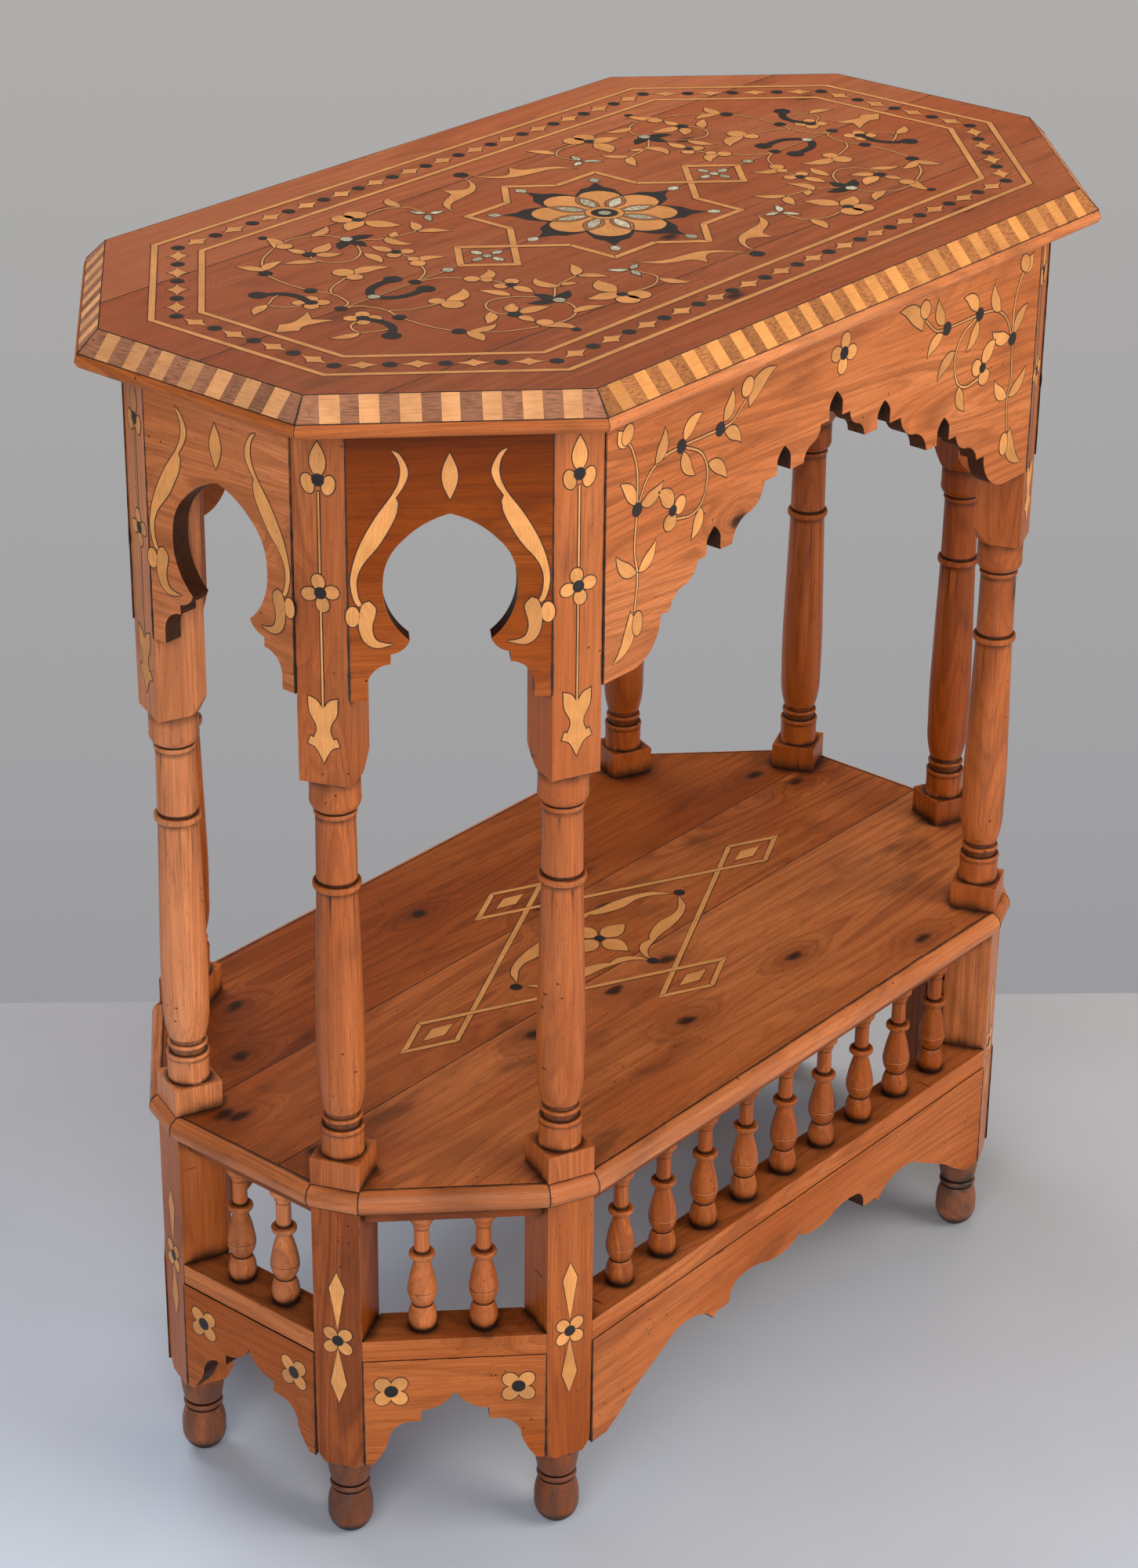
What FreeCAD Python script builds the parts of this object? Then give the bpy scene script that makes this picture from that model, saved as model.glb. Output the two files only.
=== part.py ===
import FreeCAD, Part
import math
import os

# A long two-tier side table with octagonal ends, all of wood. An inlaid top stands on eight turned
# columns joined by arched aprons. Below it is a shelf, and under the shelf a gallery of balusters
# between eight short posts that end in ball feet.
# Lengths are in millimetres. Z is up, X runs along the table, the front faces -Y, and the origin
# is on the floor under the middle of the top.

Vec = FreeCAD.Vector
ORIGIN = Vec(0, 0, 0)
UP = Vec(0, 0, 1)

# Whole table
table_height = 720.0
top_width = 378.0           # across the long sides of the top
top_overhang = 23.5         # edge of the top, out from the faces of the aprons
end_stretch = 294.0         # how far the two half-octagon ends are pulled apart

# Fits
joint_gap = 0.2             # glue room between a rail or apron and its post
socket_gap = 0.15           # room round a tenon, pin or tongue
overrun = 5.0               # how far a cutting shape runs past what it cuts

# Top: boards edged with bevelled strips
top_thick = 20.0
edge_width = 13.0           # plan width of an edge strip
nose_radius = 4.0           # rounded lower lip of the strip
nose_end_turn = 45.0        # how far the lip curls in under the bevel, in degrees
bevel_foot_in = 1.6         # foot of the bevel, in from the lip
bevel_foot_height = 8.0     # foot of the bevel, above the underside
edge_tongue_depth = 5.0
edge_tongue_thick = 5.0
top_joint_shares = (-0.575, 0.0, 0.575)

# Loose tongues between boards
board_tongue_width = 12.0
board_tongue_thick = 4.0
board_tongue_past = 90.0    # how far a tongue runs past the straight middle, each end

# Posts and columns
post_size = 29.0
block_bottom = 496.5        # lower end of a column's square block
shoulder_radius = 17.0      # turner's shoulder that trims the corners of a lower post
shoulder_height = 8.0
back_trim_radius = 14.9     # the same on a column's block, on its two back corners only
back_trim_height = 11.0
plinth_height = 17.0
column_radius = 13.9
column_tenon_radius = 7.0
column_tenon_depth = 20.0   # into the lower post
top_tenon_size = 15.0
top_tenon_height = 10.0

# Shelf
shelf_top = 245.0
shelf_thick = 15.5
nosing_overhang = 5.0       # front of the nosing, out from the post faces
shelf_joint_shares = (-0.16, 0.32)

# Lower posts and gallery
post_bottom = 54.5
foot_radius = 13.2
rail_top = 144.0
rail_height = 13.5
rail_depth = 28.0
head_rail_height = 8.5
head_rail_setback = 6.0
head_rail_depth = 20.0
rail_tenon_depth = 5.0
rail_tenon_margin = 2.0     # shoulder above and below a tenon
rail_tenon_start = 8.0      # front of a tenon, in from the post face
rail_tenon_thick = 10.0
baluster_radius = 8.6
baluster_pin_radius = 3.0
baluster_pin_length = 6.0
short_baluster_spacing = 35.0
long_baluster_spacing = 39.5
long_baluster_count = 9
short_baluster_count = 2

# Aprons
upper_apron_drop = 153.0
upper_apron_thick = 11.0
lower_apron_bottom = 58.5
lower_apron_thick = 11.0
apron_proud = 0.8           # face of an apron, out from the arrises of the posts
apron_tongue_start = 3.0    # front of the tongue at an apron's end, in from the face
apron_tongue_thick = 5.0
apron_tongue_depth = 4.0    # into the post
apron_tongue_margin = 8.0   # shoulder under the tongue
notch_half_width = 6.1
notch_straight = 8.5
notch_rise = 15.5

# Outlines of the aprons, one half each, from the post to the middle. A step with one point is a
# straight line to it, and a step with two is an arc through the first to the second. Each point
# is a share of the half length and of the height.
horseshoe_shares = (
    ((0.82, 0.0),),
    ((0.82, 0.05),),
    ((0.755, 0.108), (0.586, 0.134)),
    ((0.586, 0.171),),
    ((0.475, 0.185), (0.397, 0.22)),
    ((0.556, 0.284), (0.651, 0.435)),
    ((0.6, 0.516), (0.462, 0.582)),
    ((0.25, 0.641), (0.0, 0.677)),
)
long_shoulder_shares = (
    ((0.871, 0.0),),
    ((0.785, 0.062), (0.76, 0.157)),
    ((0.722, 0.157),),
)
# The long upper apron climbs in three tiers, each with a pointed notch.
tier_start_shares = (0.606, 0.318, 0.068)
tier_notch_shares = (0.538, 0.233, 0.0)
tier_end_shares = (0.456, 0.142)
tier_level_shares = (0.298, 0.48, 0.6)
notch_bulge_share = 0.64
ogee_bow_share = 0.085

ogee_point_shares = (
    ((0.9, 0.0),),
    ((0.8, 0.1), (0.732, 0.208)),
    ((0.662, 0.342), (0.52, 0.403)),
    ((0.371, 0.408),),
    ((0.371, 0.511),),
    ((0.17, 0.553), (0.0, 0.687)),
)
lobed_shares = (
    ((0.931, 0.0),),
    ((0.866, 0.105), (0.806, 0.228)),
    ((0.66, 0.443),),
    ((0.57, 0.537), (0.485, 0.497)),
    ((0.453, 0.45), (0.424, 0.365)),
    ((0.41, 0.412),),
    ((0.344, 0.415),),
    ((0.333, 0.55), (0.29, 0.604)),
    ((0.225, 0.608), (0.16, 0.554)),
    ((0.1, 0.534), (0.045, 0.548)),
    ((0.016, 0.584), (0.0, 0.624)),
)

# Turned profiles, from the bottom up, in the same steps. Each point is a share of the largest
# radius and of the turned height.
column_start_share = 0.87
column_shares = (
    ((0.875, 0.066),),
    ((0.905, 0.0715), (0.87, 0.077)),
    ((0.73, 0.078),),
    ((0.73, 0.0935),),
    ((0.83, 0.0985), (0.75, 0.1055)),
    ((0.7, 0.1065),),
    ((0.7, 0.118),),
    ((0.77, 0.119),),
    ((0.9, 0.155), (0.955, 0.215)),
    ((0.978, 0.29), (0.945, 0.42)),
    ((0.82, 0.713),),
    ((0.94, 0.7135),),
    ((0.965, 0.721), (0.94, 0.7285)),
    ((0.78, 0.7295),),
    ((0.78, 0.736),),
    ((0.82, 0.737),),
    ((0.79, 0.9),),
    ((0.85, 0.9065), (0.8, 0.913)),
    ((0.76, 0.914),),
    ((0.76, 0.919),),
    ((0.87, 0.9195),),
    ((0.97, 0.928), (1.0, 0.948)),
    ((1.0, 1.0),),
)
foot_start_share = 0.3
foot_shares = (
    ((0.76, 0.08), (1.0, 0.285)),
    ((0.95, 0.45), (0.8, 0.56)),
    ((0.75, 0.562),),
    ((0.75, 0.585),),
    ((0.9, 0.62), (0.82, 0.655)),
    ((0.75, 0.657),),
    ((0.75, 0.68),),
    ((0.85, 0.684),),
    ((0.94, 0.79), (0.99, 0.93)),
    ((0.99, 1.0),),
)
baluster_start_share = 0.8
baluster_shares = (
    ((0.965, 0.08), (0.72, 0.205)),
    ((0.63, 0.208),),
    ((0.63, 0.225),),
    ((0.73, 0.228),),
    ((0.9, 0.27), (1.0, 0.33)),
    ((0.94, 0.338),),
    ((1.0, 0.346),),
    ((0.86, 0.44), (0.56, 0.57)),
    ((0.5, 0.624),),
    ((0.83, 0.625),),
    ((0.875, 0.645), (0.83, 0.665)),
    ((0.47, 0.668),),
    ((0.47, 0.685),),
    ((0.52, 0.69),),
    ((0.5, 0.88),),
    ((0.58, 0.884),),
    ((0.68, 0.925), (0.88, 0.955)),
    ((0.88, 1.0),),
)

# Places round the table. Side 0 is the long front, and the others follow anticlockwise seen from
# above. Corner n lies between side n and the next one.
side_names = ("front", "front_right", "right", "back_right", "back", "back_left", "left", "front_left")
corner_names = ("front_right", "right_front", "right_back", "back_right",
                "back_left", "left_back", "left_front", "front_left")
side_count = len(side_names)
long_sides = (0, 4)
full_turn = 360.0
side_turn = full_turn / side_count
corner_turn = side_turn / 2
lean = math.tan(math.radians(corner_turn))      # how fast a side shortens towards the middle
corner_cos = math.cos(math.radians(corner_turn))
corner_sin = math.sin(math.radians(corner_turn))

# Worked-out levels and widths
top_under = table_height - top_thick
top_half = top_width / 2
board_half = top_half - edge_width
frame_half = top_half - top_overhang
post_half = post_size / 2
post_corner_radius = post_half * math.sqrt(2)
shelf_under = shelf_top - shelf_thick
nosing_radius = shelf_thick / 2
shelf_edge = nosing_overhang - nosing_radius    # edge of the shelf boards, out from the post faces
shelf_half = frame_half + shelf_edge
plinth_top = shelf_top + plinth_height
rail_under = rail_top - rail_height
head_rail_under = shelf_under - head_rail_height
upper_apron_bottom = top_under - upper_apron_drop
tongue_half_length = end_stretch / 2 + board_tongue_past


def outward(turn):
    """Direction that faces away from the table, for a turn in degrees from the front."""
    return Vec(math.sin(math.radians(turn)), -math.cos(math.radians(turn)), 0)


def pulled(direction):
    """How far a place is shifted along X by the stretched middle."""
    if abs(direction.x) < corner_sin / 2:
        return ORIGIN
    return Vec(math.copysign(end_stretch / 2, direction.x), 0, 0)


def on_side(shape, side, half):
    """Place a shape made with x along the side, y inward and y = 0 on its face."""
    face = outward(side_turn * side)
    placed = shape.copy()
    placed.rotate(ORIGIN, UP, side_turn * side)
    placed.translate(face * half + pulled(face))
    return placed


def on_corner(shape, corner):
    """Place a shape made round the axis of a post, with y inward."""
    turn = side_turn * corner + corner_turn
    face = outward(turn)
    to_axis = frame_half / corner_cos - corner_inset(0) - post_half
    placed = shape.copy()
    placed.rotate(ORIGIN, UP, turn)
    placed.translate(face * to_axis + pulled(face))
    return placed


def sides_at(corner):
    """The two sides that meet at a corner."""
    return corner, (corner + 1) % side_count


def side_half(side, half):
    """Half the length of a side of the plain octagon."""
    stretch = end_stretch / 2 if side in long_sides else 0
    return half * lean + stretch


def corner_inset(offset):
    """From the sharp corner of the octagon in to the post's face, both moved out by offset."""
    return post_half * lean + offset * (1 / corner_cos - 1)


def face_half(side, offset):
    """Half the length of a side between the post faces, moved out by offset."""
    return side_half(side, frame_half + offset) - corner_inset(offset) / corner_sin


def prism(points, low, high):
    """Upright solid on a plan."""
    wire = Part.makePolygon([Vec(p[0], p[1], low) for p in points + points[:1]])
    return Part.Face(wire).extrude(UP * (high - low))


def block(x_half, y_low, y_high, low, high):
    """Upright box, centred in x."""
    return prism([(-x_half, y_low), (x_half, y_low), (x_half, y_high), (-x_half, y_high)], low, high)


def post_block(half, low, high):
    return block(half, -half, half, low, high)


def path(start, steps):
    """Edges of straight lines and arcs, from a start through each step."""
    edges = []
    here = start
    for step in steps:
        there = step[-1]
        if len(step) == 1:
            edges.append(Part.LineSegment(here, there).toShape())
        else:
            edges.append(Part.Arc(here, step[0], there).toShape())
        here = there
    return edges


def turned(radius, low, high, start_share, shares):
    """Solid of revolution about Z from a profile in shares."""
    def at(point):
        return Vec(radius * point[0], 0, low + (high - low) * point[1])
    steps = [tuple(at(point) for point in step) for step in shares]
    steps += [(Vec(0, 0, high),), (Vec(0, 0, low),), (at((start_share, 0)),)]
    return Part.Face(Part.Wire(path(at((start_share, 0)), steps))).revolve(ORIGIN, UP, full_turn)


def shoulder_trim(low, radius, height):
    """What a turner's shoulder takes off the corners of a square block, at its lower end."""
    foot = Vec(0, 0, low)
    ring = Part.makeCylinder(post_corner_radius + overrun, height, foot)
    return ring.cut(Part.makeCone(radius, post_corner_radius, height, foot))


def back_trim(low):
    """The same for a column's block, whose front corners stay square."""
    reach = post_corner_radius + overrun
    behind = block(reach, 0, reach, low, low + back_trim_height)
    return shoulder_trim(low, back_trim_radius, back_trim_height).common(behind)


def one_solid(shape):
    """A joined shape with its inner seams removed."""
    return shape.removeSplitter().Solids[0]


def save(name, shapes):
    """Write one piece, or one group of like pieces."""
    shape = shapes[0] if len(shapes) == 1 else Part.makeCompound(shapes)
    shape.exportStep("parts/" + name + ".step")


def between_posts(side, front, back, reach):
    """Plan of a piece that runs from post to post, its ends along the posts' sides."""
    plan = []
    for sign, y in ((-1, front), (1, front), (1, back), (-1, back)):
        plan.append((sign * (face_half(side, 0) - y * lean + reach / corner_cos), y))
    return plan


def octagon(half):
    """Plan of a plain stretched octagon."""
    plan = []
    for corner in range(side_count):
        face = outward(side_turn * corner + corner_turn)
        place = face * (half / corner_cos) + pulled(face)
        plan.append((place.x, place.y))
    return plan


def framed_plan(offset):
    """Plan through the aprons' and posts' faces, moved out by offset: sixteen sides."""
    plan = []
    for side in range(side_count):
        reach = face_half(side, offset)
        for x in (-reach, reach):
            point = on_side(Part.Vertex(Vec(x, -offset, 0)), side, frame_half).Point
            plan.append((point.x, point.y))
    return plan


def mitred(side, half, front, back):
    """Plan of a strip along a side of the plain octagon, mitred at both ends."""
    near = side_half(side, half - front)
    far = side_half(side, half - back)
    return [(-near, front), (near, front), (far, back), (-far, back)]


# Top

def edge_strip(side):
    """Bevelled edge strip with a rounded lip and a tongue that enters the boards."""
    end_turn = math.radians(nose_end_turn)
    nose_end = Vec(0, nose_radius * (1 - math.cos(end_turn)), nose_radius * (1 + math.sin(end_turn)))
    start = Vec(0, edge_width, 0)
    steps = [(Vec(0, nose_radius, 0),),
             (Vec(0, 0, nose_radius), nose_end),
             (Vec(0, bevel_foot_in, bevel_foot_height),),
             (Vec(0, edge_width, top_thick),),
             (start,)]
    long = side_half(side, top_half)
    strip = Part.Face(Part.Wire(path(start, steps))).extrude(Vec(2 * long, 0, 0))
    strip.translate(Vec(-long, 0, top_under))
    strip = strip.common(prism(mitred(side, top_half, 0, edge_width), top_under, table_height))
    middle = top_under + top_thick / 2
    thick = edge_tongue_thick / 2 - socket_gap
    back = edge_width + edge_tongue_depth - socket_gap
    lip = prism(mitred(side, top_half, edge_width, back), middle - thick, middle + thick)
    return on_side(one_solid(strip.fuse(lip)), side, top_half)


def tongue(y, middle, room):
    """Loose tongue in a joint between two boards, or its groove with room added."""
    thick = board_tongue_thick / 2 + room
    return block(tongue_half_length + room, y - board_tongue_width / 2 - room,
                 y + board_tongue_width / 2 + room, middle - thick, middle + thick)


def boards(slab, half, joint_shares, middle):
    """Split a slab into boards along X, with grooves for the tongues."""
    joints = [half * share for share in joint_shares]
    for y in joints:
        slab = slab.cut(tongue(y, middle, socket_gap))
    lines = [-half - overrun] + joints + [half + overrun]
    long = half + end_stretch / 2 + overrun
    box = slab.BoundBox
    pieces = []
    for near, far in zip(lines, lines[1:]):
        pieces.append(one_solid(slab.common(block(long, near, far, box.ZMin, box.ZMax))))
    return pieces, [tongue(y, middle, 0) for y in joints]


def top_boards():
    middle = top_under + top_thick / 2
    slab = prism(octagon(board_half), top_under, table_height)
    groove = prism(octagon(board_half + overrun), middle - edge_tongue_thick / 2,
                   middle + edge_tongue_thick / 2)
    groove = groove.cut(prism(octagon(board_half - edge_tongue_depth), top_under, table_height))
    slab = slab.cut(groove)
    socket = post_block(top_tenon_size / 2 + socket_gap, top_under - overrun,
                        top_under + top_tenon_height + socket_gap)
    for corner in range(side_count):
        slab = slab.cut(on_corner(socket, corner))
    return boards(slab, board_half, top_joint_shares, middle)


# Columns

def column(corner):
    """Square block, turned shaft and plinth on one stick, with a tenon at each end.

    The block is grooved on two sides for the tongues of the upper aprons.
    """
    head = post_block(post_half, block_bottom, top_under).cut(back_trim(block_bottom))
    top_tenon = post_block(top_tenon_size / 2, top_under - overrun, top_under + top_tenon_height)
    shaft = turned(column_radius, plinth_top, block_bottom, column_start_share, column_shares)
    plinth = post_block(post_half, shelf_top, plinth_top)
    tenon = Part.makeCylinder(column_tenon_radius, shelf_thick + column_tenon_depth,
                              Vec(0, 0, shelf_under - column_tenon_depth))
    body = on_corner(one_solid(head.fuse([top_tenon, shaft, plinth, tenon])), corner)
    for side in sides_at(corner):
        groove = apron_tongues(side, upper_apron_bottom, top_under, socket_gap)
        body = body.cut(on_side(groove, side, frame_half))
    return one_solid(body)


def column_socket():
    """Hole for a column's lower tenon, through the shelf and into the post."""
    depth = shelf_thick + column_tenon_depth + socket_gap
    return Part.makeCylinder(column_tenon_radius + socket_gap, depth + overrun,
                             Vec(0, 0, shelf_top - depth))


# Aprons

def place_shares(steps, half, low, high):
    """Turn shares into points on the face of an apron."""
    return [tuple(Vec(half * p[0], 0, low + (high - low) * p[1]) for p in step) for step in steps]


def ogee(start, end):
    """Double curve of two arcs that bow opposite ways."""
    run = end - start
    bow = Vec(run.z, 0, -run.x) * ogee_bow_share
    middle = start + run / 2
    return [(start + run / 4 + bow, middle), (middle + run / 4 - bow, end)]


def notch_side(middle, level, side):
    """Foot of one side of a notch, and the steps from there up to its point."""
    edge = middle + side * notch_half_width
    bulge = middle + side * notch_half_width * notch_bulge_share
    spring = level + notch_straight
    crown = level + notch_rise
    rise = [(Vec(edge, 0, spring),),
            (Vec(bulge, 0, (spring + crown) / 2), Vec(middle, 0, crown))]
    return Vec(edge, 0, level), rise


def reversed_steps(start, steps):
    """The same path walked from its end."""
    ends = [start] + [step[-1] for step in steps]
    return [step[:-1] + (ends[n],) for n, step in reversed(list(enumerate(steps)))]


def lobed_steps(half, low, high):
    """Half outline of the long upper apron."""
    steps = place_shares(long_shoulder_shares, half, low, high)
    for n, level_share in enumerate(tier_level_shares):
        level = low + (high - low) * level_share
        steps += ogee(steps[-1][-1], Vec(half * tier_start_shares[n], 0, level))
        middle = half * tier_notch_shares[n]
        foot, rise = notch_side(middle, level, 1)
        steps += [(foot,)] + rise
        if n < len(tier_end_shares):
            foot, rise = notch_side(middle, level, -1)
            steps += reversed_steps(foot, rise) + [(Vec(half * tier_end_shares[n], 0, level),)]
    return steps


def apron_tongues(side, low, high, room):
    """Bar through both tongues of an apron, or with room added the space they need in the posts."""
    back = apron_tongue_start + apron_tongue_thick
    plan = between_posts(side, apron_tongue_start - room, back + room, apron_tongue_depth + room)
    return prism(plan, low + apron_tongue_margin - room, high + room)


def apron(side, steps, half, low, high, thick):
    """Board between two posts, tongued at both ends, its lower edge sawn to a mirrored outline."""
    start = Vec(half, 0, low)
    mirror = [tuple(Vec(-p.x, 0, p.z) for p in step) for step in steps]
    outline = steps + reversed_steps(Vec(-half, 0, low), mirror)
    outline += [(Vec(-half, 0, high),), (Vec(half, 0, high),), (start,)]
    sawn = Part.Face(Part.Wire(path(start, outline))).extrude(Vec(0, apron_proud + thick, 0))
    sawn.translate(Vec(0, -apron_proud, 0))
    between = prism(between_posts(side, -apron_proud, thick, -joint_gap), low, high)
    ends = apron_tongues(side, low, high, 0).cut(between)
    return on_side(one_solid(sawn.common(between).fuse(ends)), side, frame_half)


def upper_apron(side):
    half = face_half(side, 0)
    if side in long_sides:
        steps = lobed_steps(half, upper_apron_bottom, top_under)
    else:
        steps = place_shares(horseshoe_shares, half, upper_apron_bottom, top_under)
    return apron(side, steps, half, upper_apron_bottom, top_under, upper_apron_thick)


def lower_apron(side):
    half = face_half(side, 0)
    shares = lobed_shares if side in long_sides else ogee_point_shares
    steps = place_shares(shares, half, lower_apron_bottom, rail_under)
    return apron(side, steps, half, lower_apron_bottom, rail_under, lower_apron_thick)


# Shelf

def shelf_boards():
    slab = prism(framed_plan(shelf_edge), shelf_under, shelf_top)
    for corner in range(side_count):
        slab = slab.cut(on_corner(column_socket(), corner))
    return boards(slab, shelf_half, shelf_joint_shares, shelf_under + shelf_thick / 2)


def nosing_strip(near_half, far_half, start):
    """Half-round strip, mitred at both ends; start is its back face."""
    rod = Part.makeCylinder(nosing_radius, 2 * far_half, Vec(-far_half, start, shelf_under + nosing_radius),
                            Vec(1, 0, 0))
    front = start - nosing_radius
    plan = [(-far_half, front), (far_half, front), (near_half, start), (-near_half, start)]
    return rod.common(prism(plan, shelf_under, shelf_top)).Solids[0]


def shelf_nosing():
    """Sixteen strips: one along each side and a short one across each post."""
    strips = []
    room = joint_gap / 2
    for n in range(side_count):
        inner = face_half(n, shelf_edge) - room
        outer = face_half(n, nosing_overhang) - room
        strips.append(on_side(nosing_strip(inner, outer, -shelf_edge), n, frame_half))
        inner = corner_inset(shelf_edge) / lean - room
        outer = corner_inset(nosing_overhang) / lean - room
        strips.append(on_corner(nosing_strip(inner, outer, -post_half - shelf_edge), n))
    return strips


# Gallery under the shelf

def rail_tenons(side, low, high, room):
    """Tenons of a rail, or with room added the space they need in the posts."""
    plan = between_posts(side, rail_tenon_start - room, rail_tenon_start + rail_tenon_thick + room,
                         rail_tenon_depth + room)
    return prism(plan, low + rail_tenon_margin - room, high - rail_tenon_margin + room)


def baluster_places(side):
    """Distances of the balusters along a side, from its middle."""
    if side in long_sides:
        count, spacing = long_baluster_count, long_baluster_spacing
    else:
        count, spacing = short_baluster_count, short_baluster_spacing
    return [spacing * (n - (count - 1) / 2) for n in range(count)]


def baluster_pins(x, room):
    """Rod through both pins of a baluster, or with room added the space they need in the rails."""
    reach = baluster_pin_length + room
    return Part.makeCylinder(baluster_pin_radius + room, head_rail_under - rail_top + 2 * reach,
                             Vec(x, rail_depth / 2, rail_top - reach))


def rail(side, front, depth, low, high):
    """Rail between two posts, tenoned at both ends and bored for the balusters."""
    body = prism(between_posts(side, front, front + depth, -joint_gap), low, high)
    body = body.fuse(rail_tenons(side, low, high, 0))
    for x in baluster_places(side):
        body = body.cut(baluster_pins(x, socket_gap))
    return on_side(one_solid(body), side, frame_half)


def middle_rail(side):
    return rail(side, 0, rail_depth, rail_under, rail_top)


def head_rail(side):
    return rail(side, head_rail_setback, head_rail_depth, head_rail_under, shelf_under)


def balusters():
    """Turned balusters with a pin at each end, all alike."""
    turning = turned(baluster_radius, rail_top, head_rail_under, baluster_start_share, baluster_shares)
    turning.translate(Vec(0, rail_depth / 2, 0))
    turning = one_solid(turning.fuse(baluster_pins(0, 0)))
    pieces = []
    for side in range(side_count):
        for x in baluster_places(side):
            pieces.append(on_side(turning.translated(Vec(x, 0, 0)), side, frame_half))
    return pieces


def lower_post(corner):
    """Square post with a ball foot on the same stick, cut for the column, rails and aprons."""
    trim = shoulder_trim(post_bottom, shoulder_radius, shoulder_height)
    body = post_block(post_half, post_bottom, shelf_under).cut(trim)
    body = body.fuse(turned(foot_radius, 0, post_bottom, foot_start_share, foot_shares))
    body = on_corner(one_solid(body.cut(column_socket())), corner)
    for side in sides_at(corner):
        rooms = [rail_tenons(side, rail_under, rail_top, socket_gap),
                 rail_tenons(side, head_rail_under, shelf_under, socket_gap),
                 apron_tongues(side, lower_apron_bottom, rail_under, socket_gap)]
        for room in rooms:
            body = body.cut(on_side(room, side, frame_half))
    return one_solid(body)


# Write every piece

os.makedirs("parts", exist_ok=True)

top_pieces, top_tongue_pieces = top_boards()
for n, piece in enumerate(top_pieces, 1):
    save("top_board_%d" % n, [piece])
save("top_tongues", top_tongue_pieces)

shelf_pieces, shelf_tongue_pieces = shelf_boards()
for n, piece in enumerate(shelf_pieces, 1):
    save("shelf_board_%d" % n, [piece])
save("shelf_tongues", shelf_tongue_pieces)
save("shelf_nosing", shelf_nosing())

for corner, name in enumerate(corner_names):
    save("column_" + name, [column(corner)])
    save("lower_post_" + name, [lower_post(corner)])

for side, name in enumerate(side_names):
    save("top_edge_" + name, [edge_strip(side)])
    save("upper_apron_" + name, [upper_apron(side)])
    save("lower_apron_" + name, [lower_apron(side)])
    save("rail_" + name, [middle_rail(side)])

save("head_rails", [head_rail(side) for side in range(side_count)])
save("balusters", balusters())
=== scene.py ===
import math
import random
from collections import namedtuple

import bmesh
import bpy
from mathutils import Matrix, Vector


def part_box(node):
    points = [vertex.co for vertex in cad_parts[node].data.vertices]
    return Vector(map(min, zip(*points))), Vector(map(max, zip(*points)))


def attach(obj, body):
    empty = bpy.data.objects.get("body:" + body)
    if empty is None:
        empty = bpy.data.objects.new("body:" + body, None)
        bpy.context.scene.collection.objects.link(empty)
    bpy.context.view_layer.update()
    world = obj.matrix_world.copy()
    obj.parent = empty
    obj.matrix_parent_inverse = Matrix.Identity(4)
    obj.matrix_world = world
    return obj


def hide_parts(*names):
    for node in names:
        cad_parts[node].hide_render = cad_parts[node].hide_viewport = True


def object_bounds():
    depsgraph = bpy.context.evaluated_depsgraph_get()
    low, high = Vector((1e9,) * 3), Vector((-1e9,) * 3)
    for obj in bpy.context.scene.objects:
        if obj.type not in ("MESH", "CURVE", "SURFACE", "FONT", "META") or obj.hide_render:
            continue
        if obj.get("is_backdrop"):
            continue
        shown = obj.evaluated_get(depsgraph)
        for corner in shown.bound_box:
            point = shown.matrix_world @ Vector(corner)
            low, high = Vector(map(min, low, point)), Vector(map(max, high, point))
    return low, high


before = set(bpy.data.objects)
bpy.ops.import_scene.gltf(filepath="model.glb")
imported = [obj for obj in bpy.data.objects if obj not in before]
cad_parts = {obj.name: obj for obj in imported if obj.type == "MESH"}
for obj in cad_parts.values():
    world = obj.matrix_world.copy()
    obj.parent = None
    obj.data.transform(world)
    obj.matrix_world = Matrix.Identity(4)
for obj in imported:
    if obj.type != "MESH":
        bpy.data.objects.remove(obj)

bl_info = {
    "name": "Inlaid two-tier table",
    "version": (1, 0, 0),
    "blender": (4, 5, 0),
    "location": "View3D > Sidebar > Table",
    "description": "Finishes a two-tier side table in waxed thuya with inlay of lemonwood, walnut and shell",
    "category": "Object",
}

# The frame is in metres, and the joiner's drawings below are in millimetres.
MM = 0.001
CAD_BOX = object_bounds()


def node_box(name):
    """Lowest and highest corner of a CAD node, in millimetres."""
    low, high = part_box(name)
    return low / MM, high / MM


# Places read from the frame
SIDES = ("front", "front_right", "right", "back_right", "back", "back_left", "left", "front_left")
CORNERS = ("front_right", "right_front", "right_back", "back_right",
           "back_left", "left_back", "left_front", "front_left")
LONG_SIDES = ("front", "back")
TOP_BOARDS = ["top_board_%d" % n for n in range(1, 5)]
SHELF_BOARDS = ["shelf_board_%d" % n for n in range(1, 4)]
FULL_TURN = 360.0
SIDE_TURN = FULL_TURN / len(SIDES)
HALF_SIDE_TURN = SIDE_TURN / 2
LEAN = math.tan(math.radians(HALF_SIDE_TURN))
CORNER_COS = math.cos(math.radians(HALF_SIDE_TURN))
CORNER_SIN = math.sin(math.radians(HALF_SIDE_TURN))

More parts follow.
